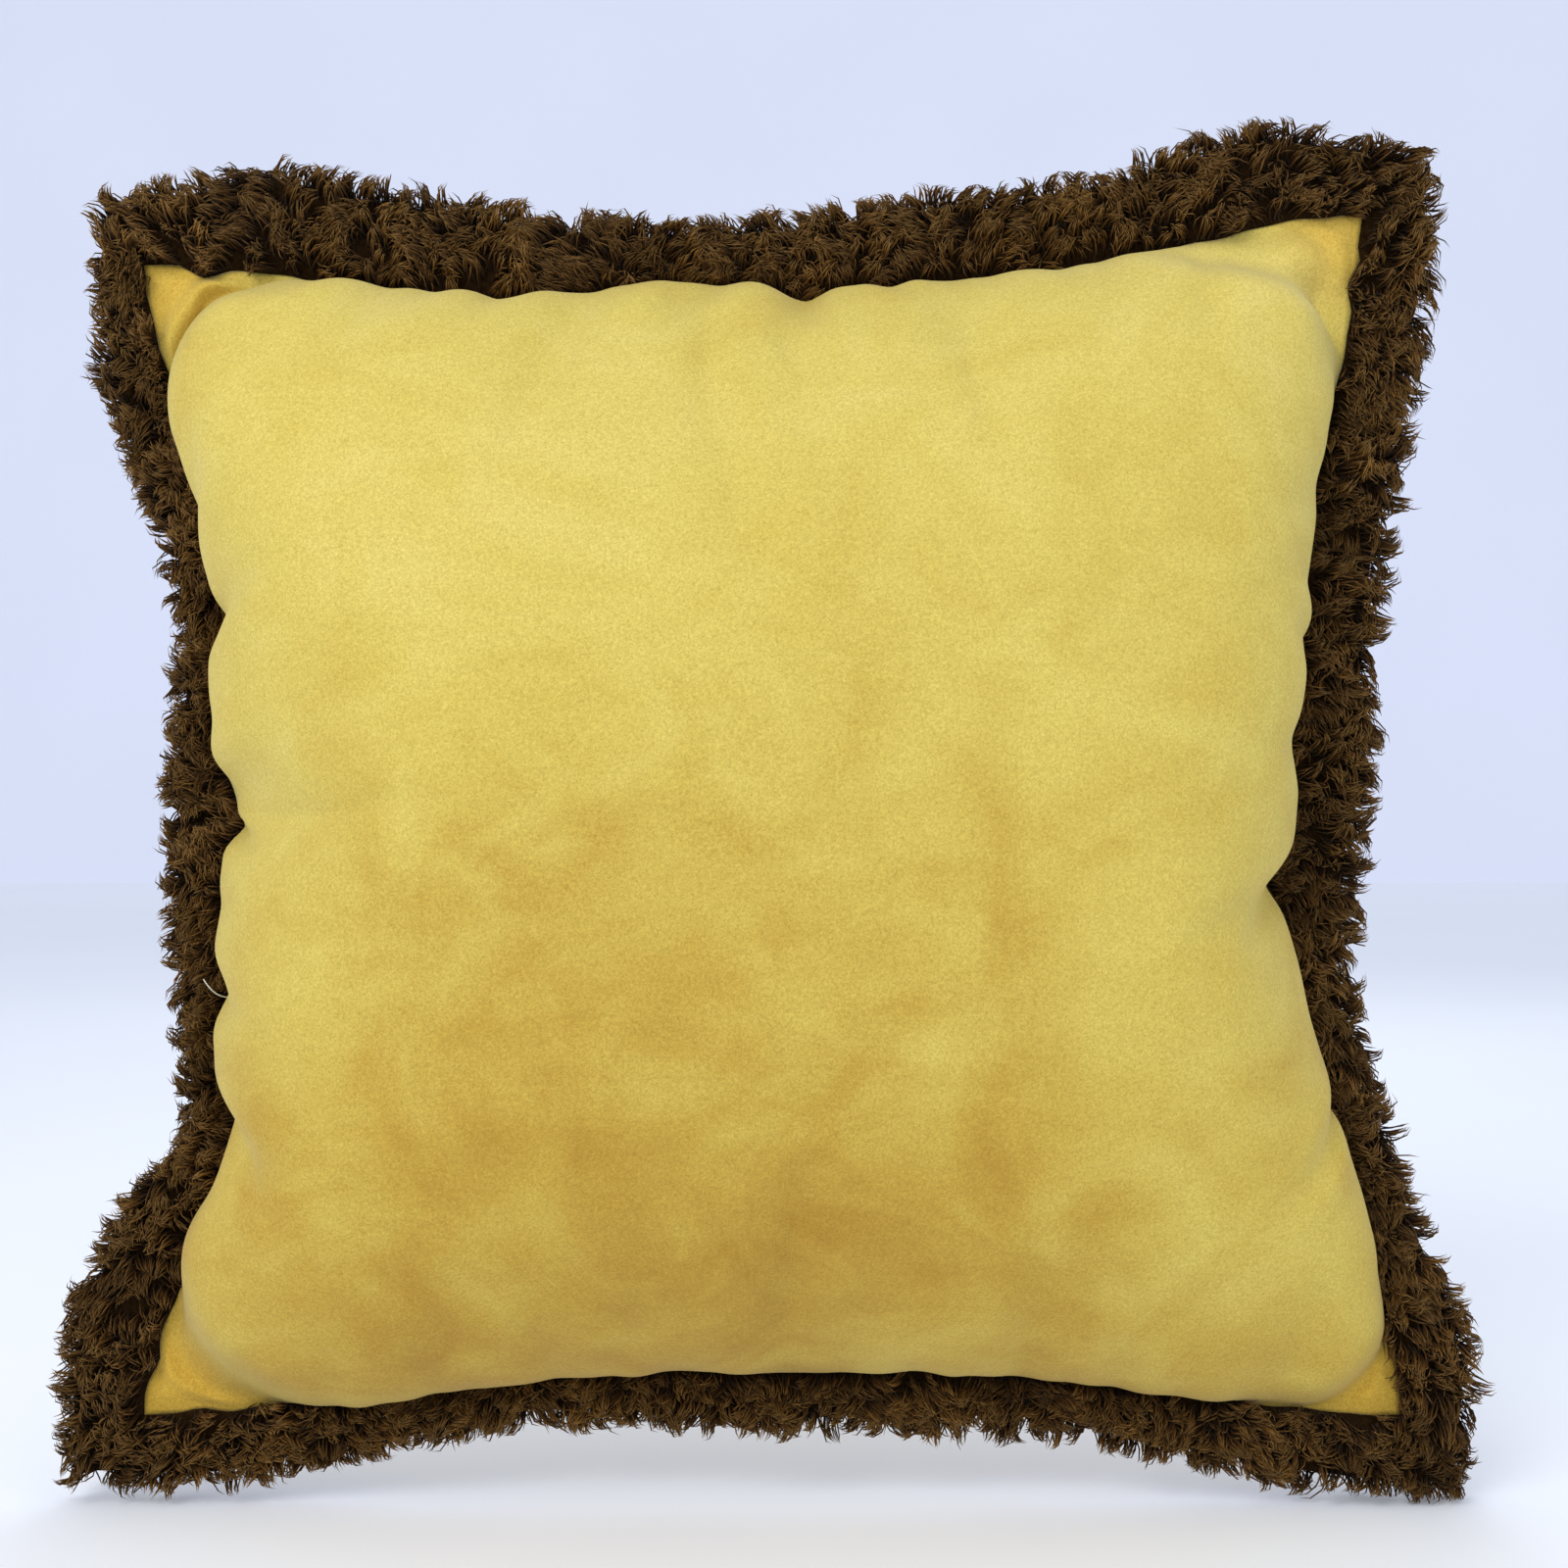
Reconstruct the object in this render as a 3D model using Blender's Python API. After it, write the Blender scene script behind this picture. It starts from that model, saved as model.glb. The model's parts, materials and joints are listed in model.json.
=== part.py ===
"""Throw pillow: a suede cover with a furry flange, a zip across its back, and a filled insert inside."""

from math import asin, cos, pi, radians, sin, sqrt

import bmesh
import bpy
from mathutils import Matrix, Vector

# Driving dimensions, in metres. X is the width, Z is up, and the front faces -Y.
# The pillow stands on its two lower corners, at Z = 0.
SEAM_CORNERS = {
    "bottom_left": (-0.2185, 0.0300),
    "bottom_right": (0.2185, 0.0300),
    "top_right": (0.2050, 0.4480),
    "top_left": (-0.2185, 0.4300),
}
PULL_IN = {"bottom": 0.016, "right": 0.037, "top": 0.0185, "left": 0.031}
PULL_REACH = {"bottom": 0.35, "right": 0.40, "top": 0.30, "left": 0.27}
HALF_DEPTH = 0.082
FULLNESS_POWER = 2.4
FABRIC = 0.0012
GAP = 0.0003

# The flange: folded pile fabric, thin at the seam and thick towards its outer edge.
FLANGE_CORNER_WIDTH = 0.036
FLANGE_MIDDLE_WIDTH = 0.028
FLANGE_NARROWS = (0.05, 0.14)
FLANGE_NECK = 0.0015
FLANGE_SWELL = 0.009
FOOT_SWELL = 0.0055
FOOT_HEIGHT = 0.07
SWELL_PLACE = 0.62
EDGE_SQUARENESS = 2 / 3
CORNER_REACH = 0.040
CORNER_ROUNDING = 0.82
MITRE_GAP = 0.00025

# The closing seam, and half the space between the two rims that it joins.
RIM_GAP = 0.0010
SEAM_THREAD_RADIUS = 0.0004
SEAM_THREAD_INSET = 0.0006

# The insert, inside the cover. Behind it, the zip's slider needs room.
CASING = 0.0006
CASING_INSET = 0.0024
CASING_DROP_BACK = 0.0050
CASING_RIM_GAP = 0.0006
FILLING_CLEARANCE = 0.0008
FILLING_RIM_GAP = 0.0002

# The zip lies on a level arc across the lower back. The arc's centre is in front of the pillow.
ZIP_HEIGHT = 0.145
ZIP_RADIUS = 0.43
ZIP_CROWN = 0.0746
ZIP_CENTRE_Y = ZIP_CROWN - ZIP_RADIUS
ZIP_SLOPE = radians(12.5)
ZIP_SLOT = 0.0045
ZIP_OPEN_TO = 0.150
ZIP_CLOSED_FROM = 0.172
HEM = 0.015
ZIP_BED_HALF_HEIGHT = 0.055
ZIP_BED_ENDS = (0.156, 0.178)
SLIDER_TRAVEL = 0.138
COIL_END = 0.1425
STOP_PLACE = 0.1450
TACK_PLACE = 0.1500
TAPE_END = 0.1550
STITCH_END = 0.1480

# Sections of the zip's long pieces, as (up the slope, outwards) points for the upper half.
TAPE_SECTION = ((0.001, -0.0021), (0.013, -0.0021), (0.013, -0.0026), (0.001, -0.0026))
COIL_SECTION = (
    (0.0005, -0.0017),
    (0.0022, -0.0017),
    (0.0022, -0.0006),
    (0.0016, 0.0001),
    (0.0008, 0.0001),
    (0.0005, -0.0004),
)
STITCH_RADIUS = 0.0003
STITCH_UP = 0.0080
STITCH_OUT = 0.0012
THREAD_SIDES = 5

# Small blocks on the zip, each from its low corner to its high one as (along, up, out).
STOP_BLOCK = ((-0.001, -0.0024, -0.0016), (0.001, 0.0024, 0.0004))
TACK_BLOCK = ((-0.0011, -0.0070, 0.0009), (0.0011, 0.0070, 0.0018))
BLOCK_EDGE = 0.0003
BRIDGE_OUT = 0.0039
SLIDER_TOP_PLATE = ((-0.0045, -0.0032, 0.0006), (0.0045, 0.0032, 0.0014))
SLIDER_BLOCKS = {
    "slider_bottom_plate": ((-0.0045, -0.0032, -0.0038), (0.0045, 0.0032, -0.0031)),
    "slider_post": ((-0.0020, -0.0002, -0.0034), (0.0020, 0.0002, 0.0010)),
    "slider_flange_upper": ((-0.0041, 0.0026, -0.0008), (0.0041, 0.0031, 0.0010)),
    "slider_flange_lower": ((-0.0041, -0.0031, -0.0008), (0.0041, -0.0026, 0.0010)),
    "bridge_leg_near": ((-0.0032, -0.0006, 0.0010), (-0.0020, 0.0006, BRIDGE_OUT)),
    "bridge_leg_far": ((0.0020, -0.0006, 0.0010), (0.0032, 0.0006, BRIDGE_OUT)),
    "bridge_bar": ((-0.0031, -0.0005, BRIDGE_OUT - 0.0005), (0.0031, 0.0005, BRIDGE_OUT + 0.0005)),
}

# The pull: a loop of wire round the slider's bridge, and the flat grip at its lower end.
LOOP_RADIUS = 0.00155
LOOP_DROP = 0.006
LOOP_WIRE = 0.0005
GRIP_BLOCK = ((-0.0027, -0.0007, -0.0270), (0.0027, 0.0007, -0.0066))
GRIP_CORNER = 0.0015

# The care label: a ribbon that hangs from the zip's lower hem.
LABEL_MIDDLE = -0.085
LABEL_WIDTH = 0.028
LABEL_LENGTH = 0.040
LABEL_THICKNESS = 0.0008
LABEL_STANDOFF = 0.0010
LABEL_TOP_BELOW_ZIP = 0.0105
LABEL_STEPS = 6

# The mesh that every layer of fabric shares.
COLUMNS = 18
LOWER_ROWS = 5
UPPER_ROWS = 8
ARC_STEPS = 30


def smooth(low, high, value):
    """A smooth rise from 0 at low to 1 at high."""
    share = min(max((value - low) / (high - low), 0), 1)
    return share * share * (3 - 2 * share)


def mix(a, b, share):
    return a + (b - a) * share


def clear_scene():
    for old in list(bpy.data.objects):
        bpy.data.objects.remove(old, do_unlink=True)


def material(name, colour, roughness, metallic=0.0):
    made = bpy.data.materials.new(name)
    made.use_nodes = True
    shader = made.node_tree.nodes["Principled BSDF"]
    shader.inputs["Base Color"].default_value = (*colour, 1)
    shader.inputs["Roughness"].default_value = roughness
    shader.inputs["Metallic"].default_value = metallic
    return made


def face_outwards(mesh_edit):
    """Turn every face of a closed body outwards, also on a thin shell, where the volume settles it."""
    bmesh.ops.recalc_face_normals(mesh_edit, faces=mesh_edit.faces)
    if mesh_edit.calc_volume(signed=True) < 0:
        bmesh.ops.reverse_faces(mesh_edit, faces=mesh_edit.faces)


def finish_mesh(name, mesh_edit, finish, smooth_angle=40):
    """Turn a bmesh into a named object with its faces pointing out and its round parts smooth."""
    face_outwards(mesh_edit)
    mesh = bpy.data.meshes.new(name)
    mesh_edit.to_mesh(mesh)
    mesh_edit.free()
    mesh.shade_smooth()
    mesh.set_sharp_from_angle(angle=radians(smooth_angle))
    mesh.materials.append(finish)
    made = bpy.data.objects.new(name, mesh)
    bpy.context.collection.objects.link(made)
    return made


def set_origin(piece, origin):
    """Move a piece's origin to a point, such as one on its joint's axis, and leave its shape in place."""
    piece.data.transform(Matrix.Translation(-origin))
    piece.location = origin


# The pillow's outline, seen from the front. u runs from left to right and v from bottom to top, 0 to 1.


def pulled_in(side, share):
    """How far the filling draws one side's seam in from the straight line between its corners."""
    return PULL_IN[side] * smooth(0, PULL_REACH[side], min(share, 1 - share))


def left_seam_x(v):
    return mix(SEAM_CORNERS["bottom_left"][0], SEAM_CORNERS["top_left"][0], v) + pulled_in("left", v)


def right_seam_x(v):
    return mix(SEAM_CORNERS["bottom_right"][0], SEAM_CORNERS["top_right"][0], v) - pulled_in("right", v)


def bottom_seam_z(u):
    return mix(SEAM_CORNERS["bottom_left"][1], SEAM_CORNERS["bottom_right"][1], u) + pulled_in("bottom", u)


def top_seam_z(u):
    return mix(SEAM_CORNERS["top_left"][1], SEAM_CORNERS["top_right"][1], u) - pulled_in("top", u)


def outline_point(u, v, inset):
    """X and Z of a point inside the seam, drawn in from it by inset at the rim."""
    x = mix(left_seam_x(v), right_seam_x(v), u) + inset * (1 - 2 * u)
    z = mix(bottom_seam_z(u), top_seam_z(u), v) + inset * (1 - 2 * v)
    return x, z


def fullness(u, v):
    """How far the filling swells the fabric, from 0 at the seam to 1 in the middle."""
    across = 1 - abs(2 * u - 1) ** FULLNESS_POWER
    upward = 1 - abs(2 * v - 1) ** FULLNESS_POWER
    return sqrt(max(across * upward, 0))


def front_y(u, v, drop, rim_gap):
    return -rim_gap - (HALF_DEPTH - drop) * fullness(u, v)


def back_y(u, v, x, z, drop, rim_gap):
    """The back swells like the front, but beside the zip it follows a cone about the arc's centre."""
    swollen = rim_gap + (HALF_DEPTH - drop) * fullness(u, v)
    cone_radius = ZIP_RADIUS + (z - ZIP_HEIGHT) * sin(ZIP_SLOPE) / cos(ZIP_SLOPE)
    cone = ZIP_CENTRE_Y + sqrt(cone_radius**2 - x**2) - drop
    cover_x, cover_z = outline_point(u, v, 0)
    beside = 1 - smooth(HEM, ZIP_BED_HALF_HEIGHT, abs(cover_z - ZIP_HEIGHT))
    along = 1 - smooth(*ZIP_BED_ENDS, abs(cover_x))
    return mix(swollen, cone, beside * along)


def columns():
    return [(1 - cos(pi * k / COLUMNS)) / 2 for k in range(COLUMNS + 1)]


def height_share(u, z):
    low, high = bottom_seam_z(u), top_seam_z(u)
    return (z - low) / (high - low)


def lower_rows(u):
    hem = height_share(u, ZIP_HEIGHT - HEM)
    return [hem * (1 - cos(pi / 2 * k / LOWER_ROWS)) for k in range(LOWER_ROWS + 1)]


def upper_rows(u):
    hem = height_share(u, ZIP_HEIGHT + HEM)
    return [mix(hem, 1, sin(pi / 2 * k / UPPER_ROWS)) for k in range(UPPER_ROWS + 1)]


def all_rows(u):
    return lower_rows(u) + [height_share(u, ZIP_HEIGHT)] + upper_rows(u)


def layer(facing, inset, drop, rim_gap):
    """One surface of a fabric layer, as rows of points from the bottom seam to the top seam."""
    grid = []
    for row in range(len(all_rows(0))):
        points = []
        for u in columns():
            v = all_rows(u)[row]
            x, z = outline_point(u, v, inset)
            y = back_y(u, v, x, z, drop, rim_gap) if facing == "back" else front_y(u, v, drop, rim_gap)
            points.append(Vector((x, y, z)))
        grid.append(points)
    return grid


def slot_half_height(x):
    """Half the zip's slot, which closes to a plain seam past the ends of the zip."""
    return mix(ZIP_SLOT, GAP / 2, smooth(ZIP_OPEN_TO, ZIP_CLOSED_FROM, abs(x)))


def back_half(part, inset, drop, rim_gap):
    """One surface of the lower or upper back panel, which stops at the zip's slot."""
    grid = layer("back", inset, drop, rim_gap)
    side = -1 if part == "lower" else 1
    slot_row = []
    for u in columns():
        v = height_share(u, ZIP_HEIGHT)
        x, _ = outline_point(u, v, inset)
        z = ZIP_HEIGHT + side * slot_half_height(x)
        slot_row.append(Vector((x, back_y(u, v, x, z, drop, rim_gap), z)))
    if part == "lower":
        return grid[: LOWER_ROWS + 1] + [slot_row]
    return [slot_row] + grid[LOWER_ROWS + 2 :]


def rim(grid):
    """The points round the edge of a grid, in order."""
    right = [row[-1] for row in grid[1:-1]]
    left = [row[0] for row in reversed(grid[1:-1])]
    return grid[0] + right + list(reversed(grid[-1])) + left


def add_grid(mesh_edit, grid):
    """Add a surface in triangles that are cut the same way in every layer, so that the layers nest.

    Each cell is cut by the diagonal that runs from the nearest corner towards the middle.
    """
    rows = [[mesh_edit.verts.new(point) for point in row] for row in grid]
    for low, high in zip(rows, rows[1:]):
        for k in range(COLUMNS):
            near_bottom = low[k].co.z < ZIP_HEIGHT - HEM / 2
            near_left = k < COLUMNS / 2
            if near_bottom == near_left:
                halves = ((low[k], low[k + 1], high[k + 1]), (low[k], high[k + 1], high[k]))
            else:
                halves = ((low[k], low[k + 1], high[k]), (low[k + 1], high[k + 1], high[k]))
            for half in halves:
                mesh_edit.faces.new(half)
    return rim(rows)


def close_between(name, grid_a, grid_b, finish):
    """A closed solid between two surfaces that have the same rows and columns."""
    mesh_edit = bmesh.new()
    rim_a = add_grid(mesh_edit, grid_a)
    rim_b = add_grid(mesh_edit, grid_b)
    for k in range(len(rim_a)):
        mesh_edit.faces.new((rim_a[k - 1], rim_a[k], rim_b[k], rim_b[k - 1]))
    return finish_mesh(name, mesh_edit, finish)


def loft(name, rings, finish, endless=False):
    """A closed solid through rings of points: capped at its ends, or joined into a loop."""
    mesh_edit = bmesh.new()
    loops = [[mesh_edit.verts.new(point) for point in ring] for ring in rings]
    pairs = list(zip(loops, loops[1:]))
    if endless:
        pairs.append((loops[-1], loops[0]))
    else:
        mesh_edit.faces.new(loops[0])
        mesh_edit.faces.new(loops[-1])
    for ring_a, ring_b in pairs:
        for k in range(len(ring_a)):
            mesh_edit.faces.new((ring_a[k - 1], ring_a[k], ring_b[k], ring_b[k - 1]))
    return finish_mesh(name, mesh_edit, finish)


def make_front_panel(suede):
    outer = layer("front", 0, 0, RIM_GAP)
    inner = layer("front", FABRIC, FABRIC, RIM_GAP)
    close_between("front_panel", outer, inner, suede)


def make_back_panels(suede):
    for part in ("lower", "upper"):
        outer = back_half(part, 0, 0, RIM_GAP)
        inner = back_half(part, FABRIC, FABRIC, RIM_GAP)
        close_between(f"back_panel_{part}", outer, inner, suede)


def make_insert(cotton, fibre):
    drops = {"front": CASING_INSET, "back": CASING_DROP_BACK}
    for facing, drop in drops.items():
        outer = layer(facing, CASING_INSET, drop, CASING_RIM_GAP)
        inner = layer(facing, CASING_INSET + CASING, drop + CASING, CASING_RIM_GAP)
        close_between(f"insert_casing_{facing}", outer, inner, cotton)
    under = CASING + FILLING_CLEARANCE
    front = layer("front", CASING_INSET + under, drops["front"] + under, FILLING_RIM_GAP)
    back = layer("back", CASING_INSET + under, drops["back"] + under, FILLING_RIM_GAP)
    close_between("fibre_filling", front, back, fibre)


def thread_turns():
    return [2 * pi * step / THREAD_SIDES for step in range(THREAD_SIDES)]


def make_seam_thread(thread):
    """The stitching line that joins the front, the flange and the back, all round."""
    line = rim(layer("front", SEAM_THREAD_INSET, 0, 0))
    rings = []
    for k, point in enumerate(line):
        along = (line[(k + 1) % len(line)] - line[k - 1]).normalized()
        outward = Vector((along.z, 0, -along.x))
        turned = [cos(a) * outward + sin(a) * Vector((0, 1, 0)) for a in thread_turns()]
        rings.append([point + SEAM_THREAD_RADIUS * spoke for spoke in turned])
    loft("closing_seam_thread", rings, thread, endless=True)


# The flange. Each side's strip runs from corner to corner and is mitred at both.

SIDES = {
    "bottom": {"outward": Vector((0, 0, -1)), "corners": ("bottom_left", "bottom_right")},
    "right": {"outward": Vector((1, 0, 0)), "corners": ("bottom_right", "top_right")},
    "top": {"outward": Vector((0, 0, 1)), "corners": ("top_left", "top_right")},
    "left": {"outward": Vector((-1, 0, 0)), "corners": ("bottom_left", "top_left")},
}


def seam_line(side):
    """The points of one side's seam, from its left or lower corner."""
    rows = layer("front", -GAP, 0, 0)
    lines = {
        "bottom": rows[0],
        "top": rows[-1],
        "left": [row[0] for row in rows],
        "right": [row[-1] for row in rows],
    }
    return lines[side]


def flange_profile(swell):
    """Half the strip's section as (share of its width, half thickness), from the seam to the outer edge."""
    points = []
    for k in range(4):
        share = k / 4
        points.append((SWELL_PLACE * share, mix(FLANGE_NECK, swell, smooth(0, 1, share))))
    for k in range(4):
        turn = pi / 2 * k / 3
        place = SWELL_PLACE + (1 - SWELL_PLACE) * sin(turn) ** EDGE_SQUARENESS
        points.append((place, swell * max(cos(turn), 0) ** EDGE_SQUARENESS))
    return points


def flange_section(inner, outer):
    """The strip's closed section between two points, flattened where it meets the ground."""
    foot = 1 - smooth(0, FOOT_HEIGHT, outer.z)
    profile = flange_profile(FLANGE_SWELL + FOOT_SWELL * foot)
    front = [inner.lerp(outer, share) - Vector((0, half, 0)) for share, half in profile[:-1]]
    back = [inner.lerp(outer, share) + Vector((0, half, 0)) for share, half in reversed(profile[:-1])]
    ring = front + [outer.copy()] + back
    for point in ring:
        point.z = max(point.z, 0)
    return ring


def make_flange_strip(side, fur):
    outward = SIDES[side]["outward"]
    line = seam_line(side)
    start, end = line[0], line[-1]
    along = (end - start).normalized()
    rings = []
    for inner in line:
        from_start = (inner - start).dot(along)
        from_end = (end - inner).dot(along)
        nearest = min(from_start, from_end)
        towards_corner = -along if from_start < from_end else along
        corner_axis = Vector((round(towards_corner.x), 0, round(towards_corner.z)))
        straight = smooth(0, CORNER_REACH, nearest)
        reach = outward * mix(CORNER_ROUNDING, 1, straight) + corner_axis * CORNER_ROUNDING * (1 - straight)
        width = mix(FLANGE_CORNER_WIDTH, FLANGE_MIDDLE_WIDTH, smooth(*FLANGE_NARROWS, nearest))
        outer = inner + width * reach
        ring = flange_section(inner, outer)
        if nearest < MITRE_GAP:
            ring = [point - corner_axis * MITRE_GAP for point in ring]
        rings.append(ring)
    loft(f"fur_trim_{side}", rings, fur)


# The zip. Its pieces are placed by an angle along the arc, a distance up the slope, and one outwards.


def arc_angle(x):
    return asin(x / ZIP_RADIUS)


def zip_point(angle, up, out):
    radius = ZIP_RADIUS + sin(ZIP_SLOPE) * up + cos(ZIP_SLOPE) * out
    height = ZIP_HEIGHT + cos(ZIP_SLOPE) * up - sin(ZIP_SLOPE) * out
    return Vector((radius * sin(angle), ZIP_CENTRE_Y + radius * cos(angle), height))


def zip_frame(angle):
    """The matrix that lays X along the zip, Y up the slope and Z outwards at one place on the arc."""
    origin = zip_point(angle, 0, 0)
    along = Vector((cos(angle), -sin(angle), 0))
    up = (zip_point(angle, 1, 0) - origin).normalized()
    out = (zip_point(angle, 0, 1) - origin).normalized()
    turned = Matrix((along, up, out)).transposed().to_4x4()
    return Matrix.Translation(origin) @ turned


def along_zip(name, section, end_x, finish, steps=ARC_STEPS):
    """Sweep a section of (up, out) points along the arc, from one end of the zip to the other."""
    end = arc_angle(end_x)
    rings = []
    for k in range(steps + 1):
        angle = mix(-end, end, k / steps)
        rings.append([zip_point(angle, up, out) for up, out in section])
    loft(name, rings, finish)


def make_tapes(tape):
    for part, side in (("upper", 1), ("lower", -1)):
        section = [(side * up, out) for up, out in TAPE_SECTION]
        along_zip(f"zip_tape_{part}", section, TAPE_END, tape)


def make_coils(nylon):
    for part, side in (("upper", 1), ("lower", -1)):
        section = [(side * up, out) for up, out in COIL_SECTION]
        along_zip(f"zip_coil_{part}", section, COIL_END, nylon)


def make_topstitching(thread):
    for part, side in (("upper", 1), ("lower", -1)):
        turned = [(STITCH_RADIUS * cos(a), STITCH_RADIUS * sin(a)) for a in thread_turns()]
        section = [(side * STITCH_UP + up, STITCH_OUT + out) for up, out in turned]
        along_zip(f"topstitch_{part}", section, STITCH_END, thread)


def add_block(mesh_edit, low, high):
    """A block between two opposite corners."""
    size = Vector(high) - Vector(low)
    middle = (Vector(high) + Vector(low)) / 2
    place = Matrix.Translation(middle) @ Matrix.Diagonal((*size, 1))
    return bmesh.ops.create_cube(mesh_edit, size=1, matrix=place)["verts"]


def block_on_zip(name, x, corners, finish):
    """A small block with rounded edges, placed on the zip at one distance along it."""
    mesh_edit = bmesh.new()
    add_block(mesh_edit, *corners)
    bmesh.ops.bevel(
        mesh_edit, geom=mesh_edit.edges, offset=BLOCK_EDGE, segments=2, profile=0.5, affect="EDGES"
    )
    bmesh.ops.transform(mesh_edit, matrix=zip_frame(arc_angle(x)), verts=mesh_edit.verts)
    return finish_mesh(name, mesh_edit, finish)


def make_zip_ends(metal, thread):
    for name, x in (("closed", STOP_PLACE), ("open", -STOP_PLACE)):
        block_on_zip(f"zip_stop_{name}_end", x, STOP_BLOCK, metal)
    for name, x in (("right", TACK_PLACE), ("left", -TACK_PLACE)):
        block_on_zip(f"bar_tack_{name}", x, TACK_BLOCK, thread)


def guide(name, mesh_edit, frame):
    """A shape that a Boolean reads, hidden and left out of the model."""
    bmesh.ops.transform(mesh_edit, matrix=frame, verts=mesh_edit.verts)
    face_outwards(mesh_edit)
    mesh = bpy.data.meshes.new(name)
    mesh_edit.to_mesh(mesh)
    mesh_edit.free()
    made = bpy.data.objects.new(name, mesh)
    made.hide_render = True
    made.display_type = "WIRE"
    bpy.context.collection.objects.link(made)
    return made


def join_to(piece, shape):
    union = piece.modifiers.new("join", "BOOLEAN")
    union.operation = "UNION"
    union.solver = "EXACT"
    union.object = shape


def make_slider(metal):
    """Two plates joined by a post that runs between the coils, with a bridge for the pull on top."""
    frame = zip_frame(arc_angle(SLIDER_TRAVEL))
    slider = block_on_zip("zip_slider", SLIDER_TRAVEL, SLIDER_TOP_PLATE, metal)
    for name, corners in SLIDER_BLOCKS.items():
        shape = bmesh.new()
        add_block(shape, *corners)
        join_to(slider, guide(name, shape, frame))
    set_origin(slider, Vector((0, ZIP_CENTRE_Y, ZIP_HEIGHT)))


def stadium_ring(radius, drop, wire, sides=8):
    """Rings of points along a long loop of wire, whose upper bend is centred on the origin."""
    upper = [(radius * cos(a), radius * sin(a)) for a in (pi * k / 8 for k in range(9))]
    lower = [(radius * cos(a), radius * sin(a) - drop) for a in (pi + pi * k / 8 for k in range(9))]
    path = [Vector((0, out, up)) for out, up in upper + lower]
    rings = []
    for k, point in enumerate(path):
        along = (path[(k + 1) % len(path)] - path[k - 1]).normalized()
        side = along.cross(Vector((1, 0, 0)))
        turns = [2 * pi * step / sides for step in range(sides)]
        rings.append([point + wire * (cos(a) * side + sin(a) * Vector((1, 0, 0))) for a in turns])
    return rings


def make_pull(metal):
    """A wire loop round the slider's bridge, with a flat grip at its lower end. It hangs plumb."""
    angle = arc_angle(SLIDER_TRAVEL)
    pivot = zip_frame(angle) @ Vector((0, 0, BRIDGE_OUT))
    frame = Matrix.Translation(pivot) @ Matrix.Rotation(-angle, 4, "Z")
    loop = stadium_ring(LOOP_RADIUS, LOOP_DROP, LOOP_WIRE)
    pull = loft("zip_pull", [[frame @ point for point in ring] for ring in loop], metal, endless=True)
    grip = bmesh.new()
    add_block(grip, *GRIP_BLOCK)
    through = [edge for edge in grip.edges if abs(edge.verts[0].co.y - edge.verts[1].co.y) > GAP]
    bmesh.ops.bevel(grip, geom=through, offset=GRIP_CORNER, segments=3, profile=0.5, affect="EDGES")
    join_to(pull, guide("pull_grip", grip, frame))
    set_origin(pull, pivot)


def back_surface_y(x, z):
    """Y of the back panels' outer surface at a place seen from behind."""
    u = 0.5
    for _ in range(4):
        v = height_share(u, z)
        u = (x - left_seam_x(v)) / (right_seam_x(v) - left_seam_x(v))
    return back_y(u, v, x, z, 0, RIM_GAP)


def make_care_label(satin):
    """A blank folded ribbon that hangs from the zip's lower hem and lies along the lower back panel."""
    across = [LABEL_MIDDLE + LABEL_WIDTH * side / 2 for side in (-1, 0, 1)]
    rings = []
    for k in range(LABEL_STEPS + 1):
        z = ZIP_HEIGHT - LABEL_TOP_BELOW_ZIP - LABEL_LENGTH * k / LABEL_STEPS
        under = [Vector((x, back_surface_y(x, z) + LABEL_STANDOFF, z)) for x in across]
        over = [point + Vector((0, LABEL_THICKNESS, 0)) for point in reversed(under)]
        rings.append(under + over)
    loft("care_label", rings, satin)


def main():
    clear_scene()
    suede = material("mustard_suede", (0.70, 0.53, 0.13), 0.9)
    fur = material("brown_pile", (0.045, 0.024, 0.009), 0.95)
    cotton = material("white_cotton", (0.80, 0.79, 0.75), 0.9)
    fibre = material("polyester_fibre", (0.90, 0.90, 0.88), 1.0)
    tape = material("zip_tape_weave", (0.55, 0.40, 0.10), 0.85)
    nylon = material("zip_nylon", (0.58, 0.42, 0.10), 0.45)
    brass = material("zip_brass", (0.72, 0.53, 0.25), 0.35, 1.0)
    thread = material("yellow_thread", (0.62, 0.46, 0.12), 0.7)
    satin = material("white_satin", (0.85, 0.84, 0.80), 0.5)

    make_front_panel(suede)
    make_back_panels(suede)
    for side in SIDES:
        make_flange_strip(side, fur)
    make_seam_thread(thread)
    make_insert(cotton, fibre)
    make_tapes(tape)
    make_coils(nylon)
    make_zip_ends(brass, thread)
    make_topstitching(thread)
    make_slider(brass)
    make_pull(brass)
    make_care_label(satin)


main()
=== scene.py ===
"""Looks of the throw pillow: a stuffed suede cover, a curly pile flange and the zip on its back."""

import json
from math import asin, cos, pi, radians, sin, tan

import bmesh
import bpy
import numpy as np
from mathutils import Matrix, Vector
from mathutils.bvhtree import BVHTree


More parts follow.
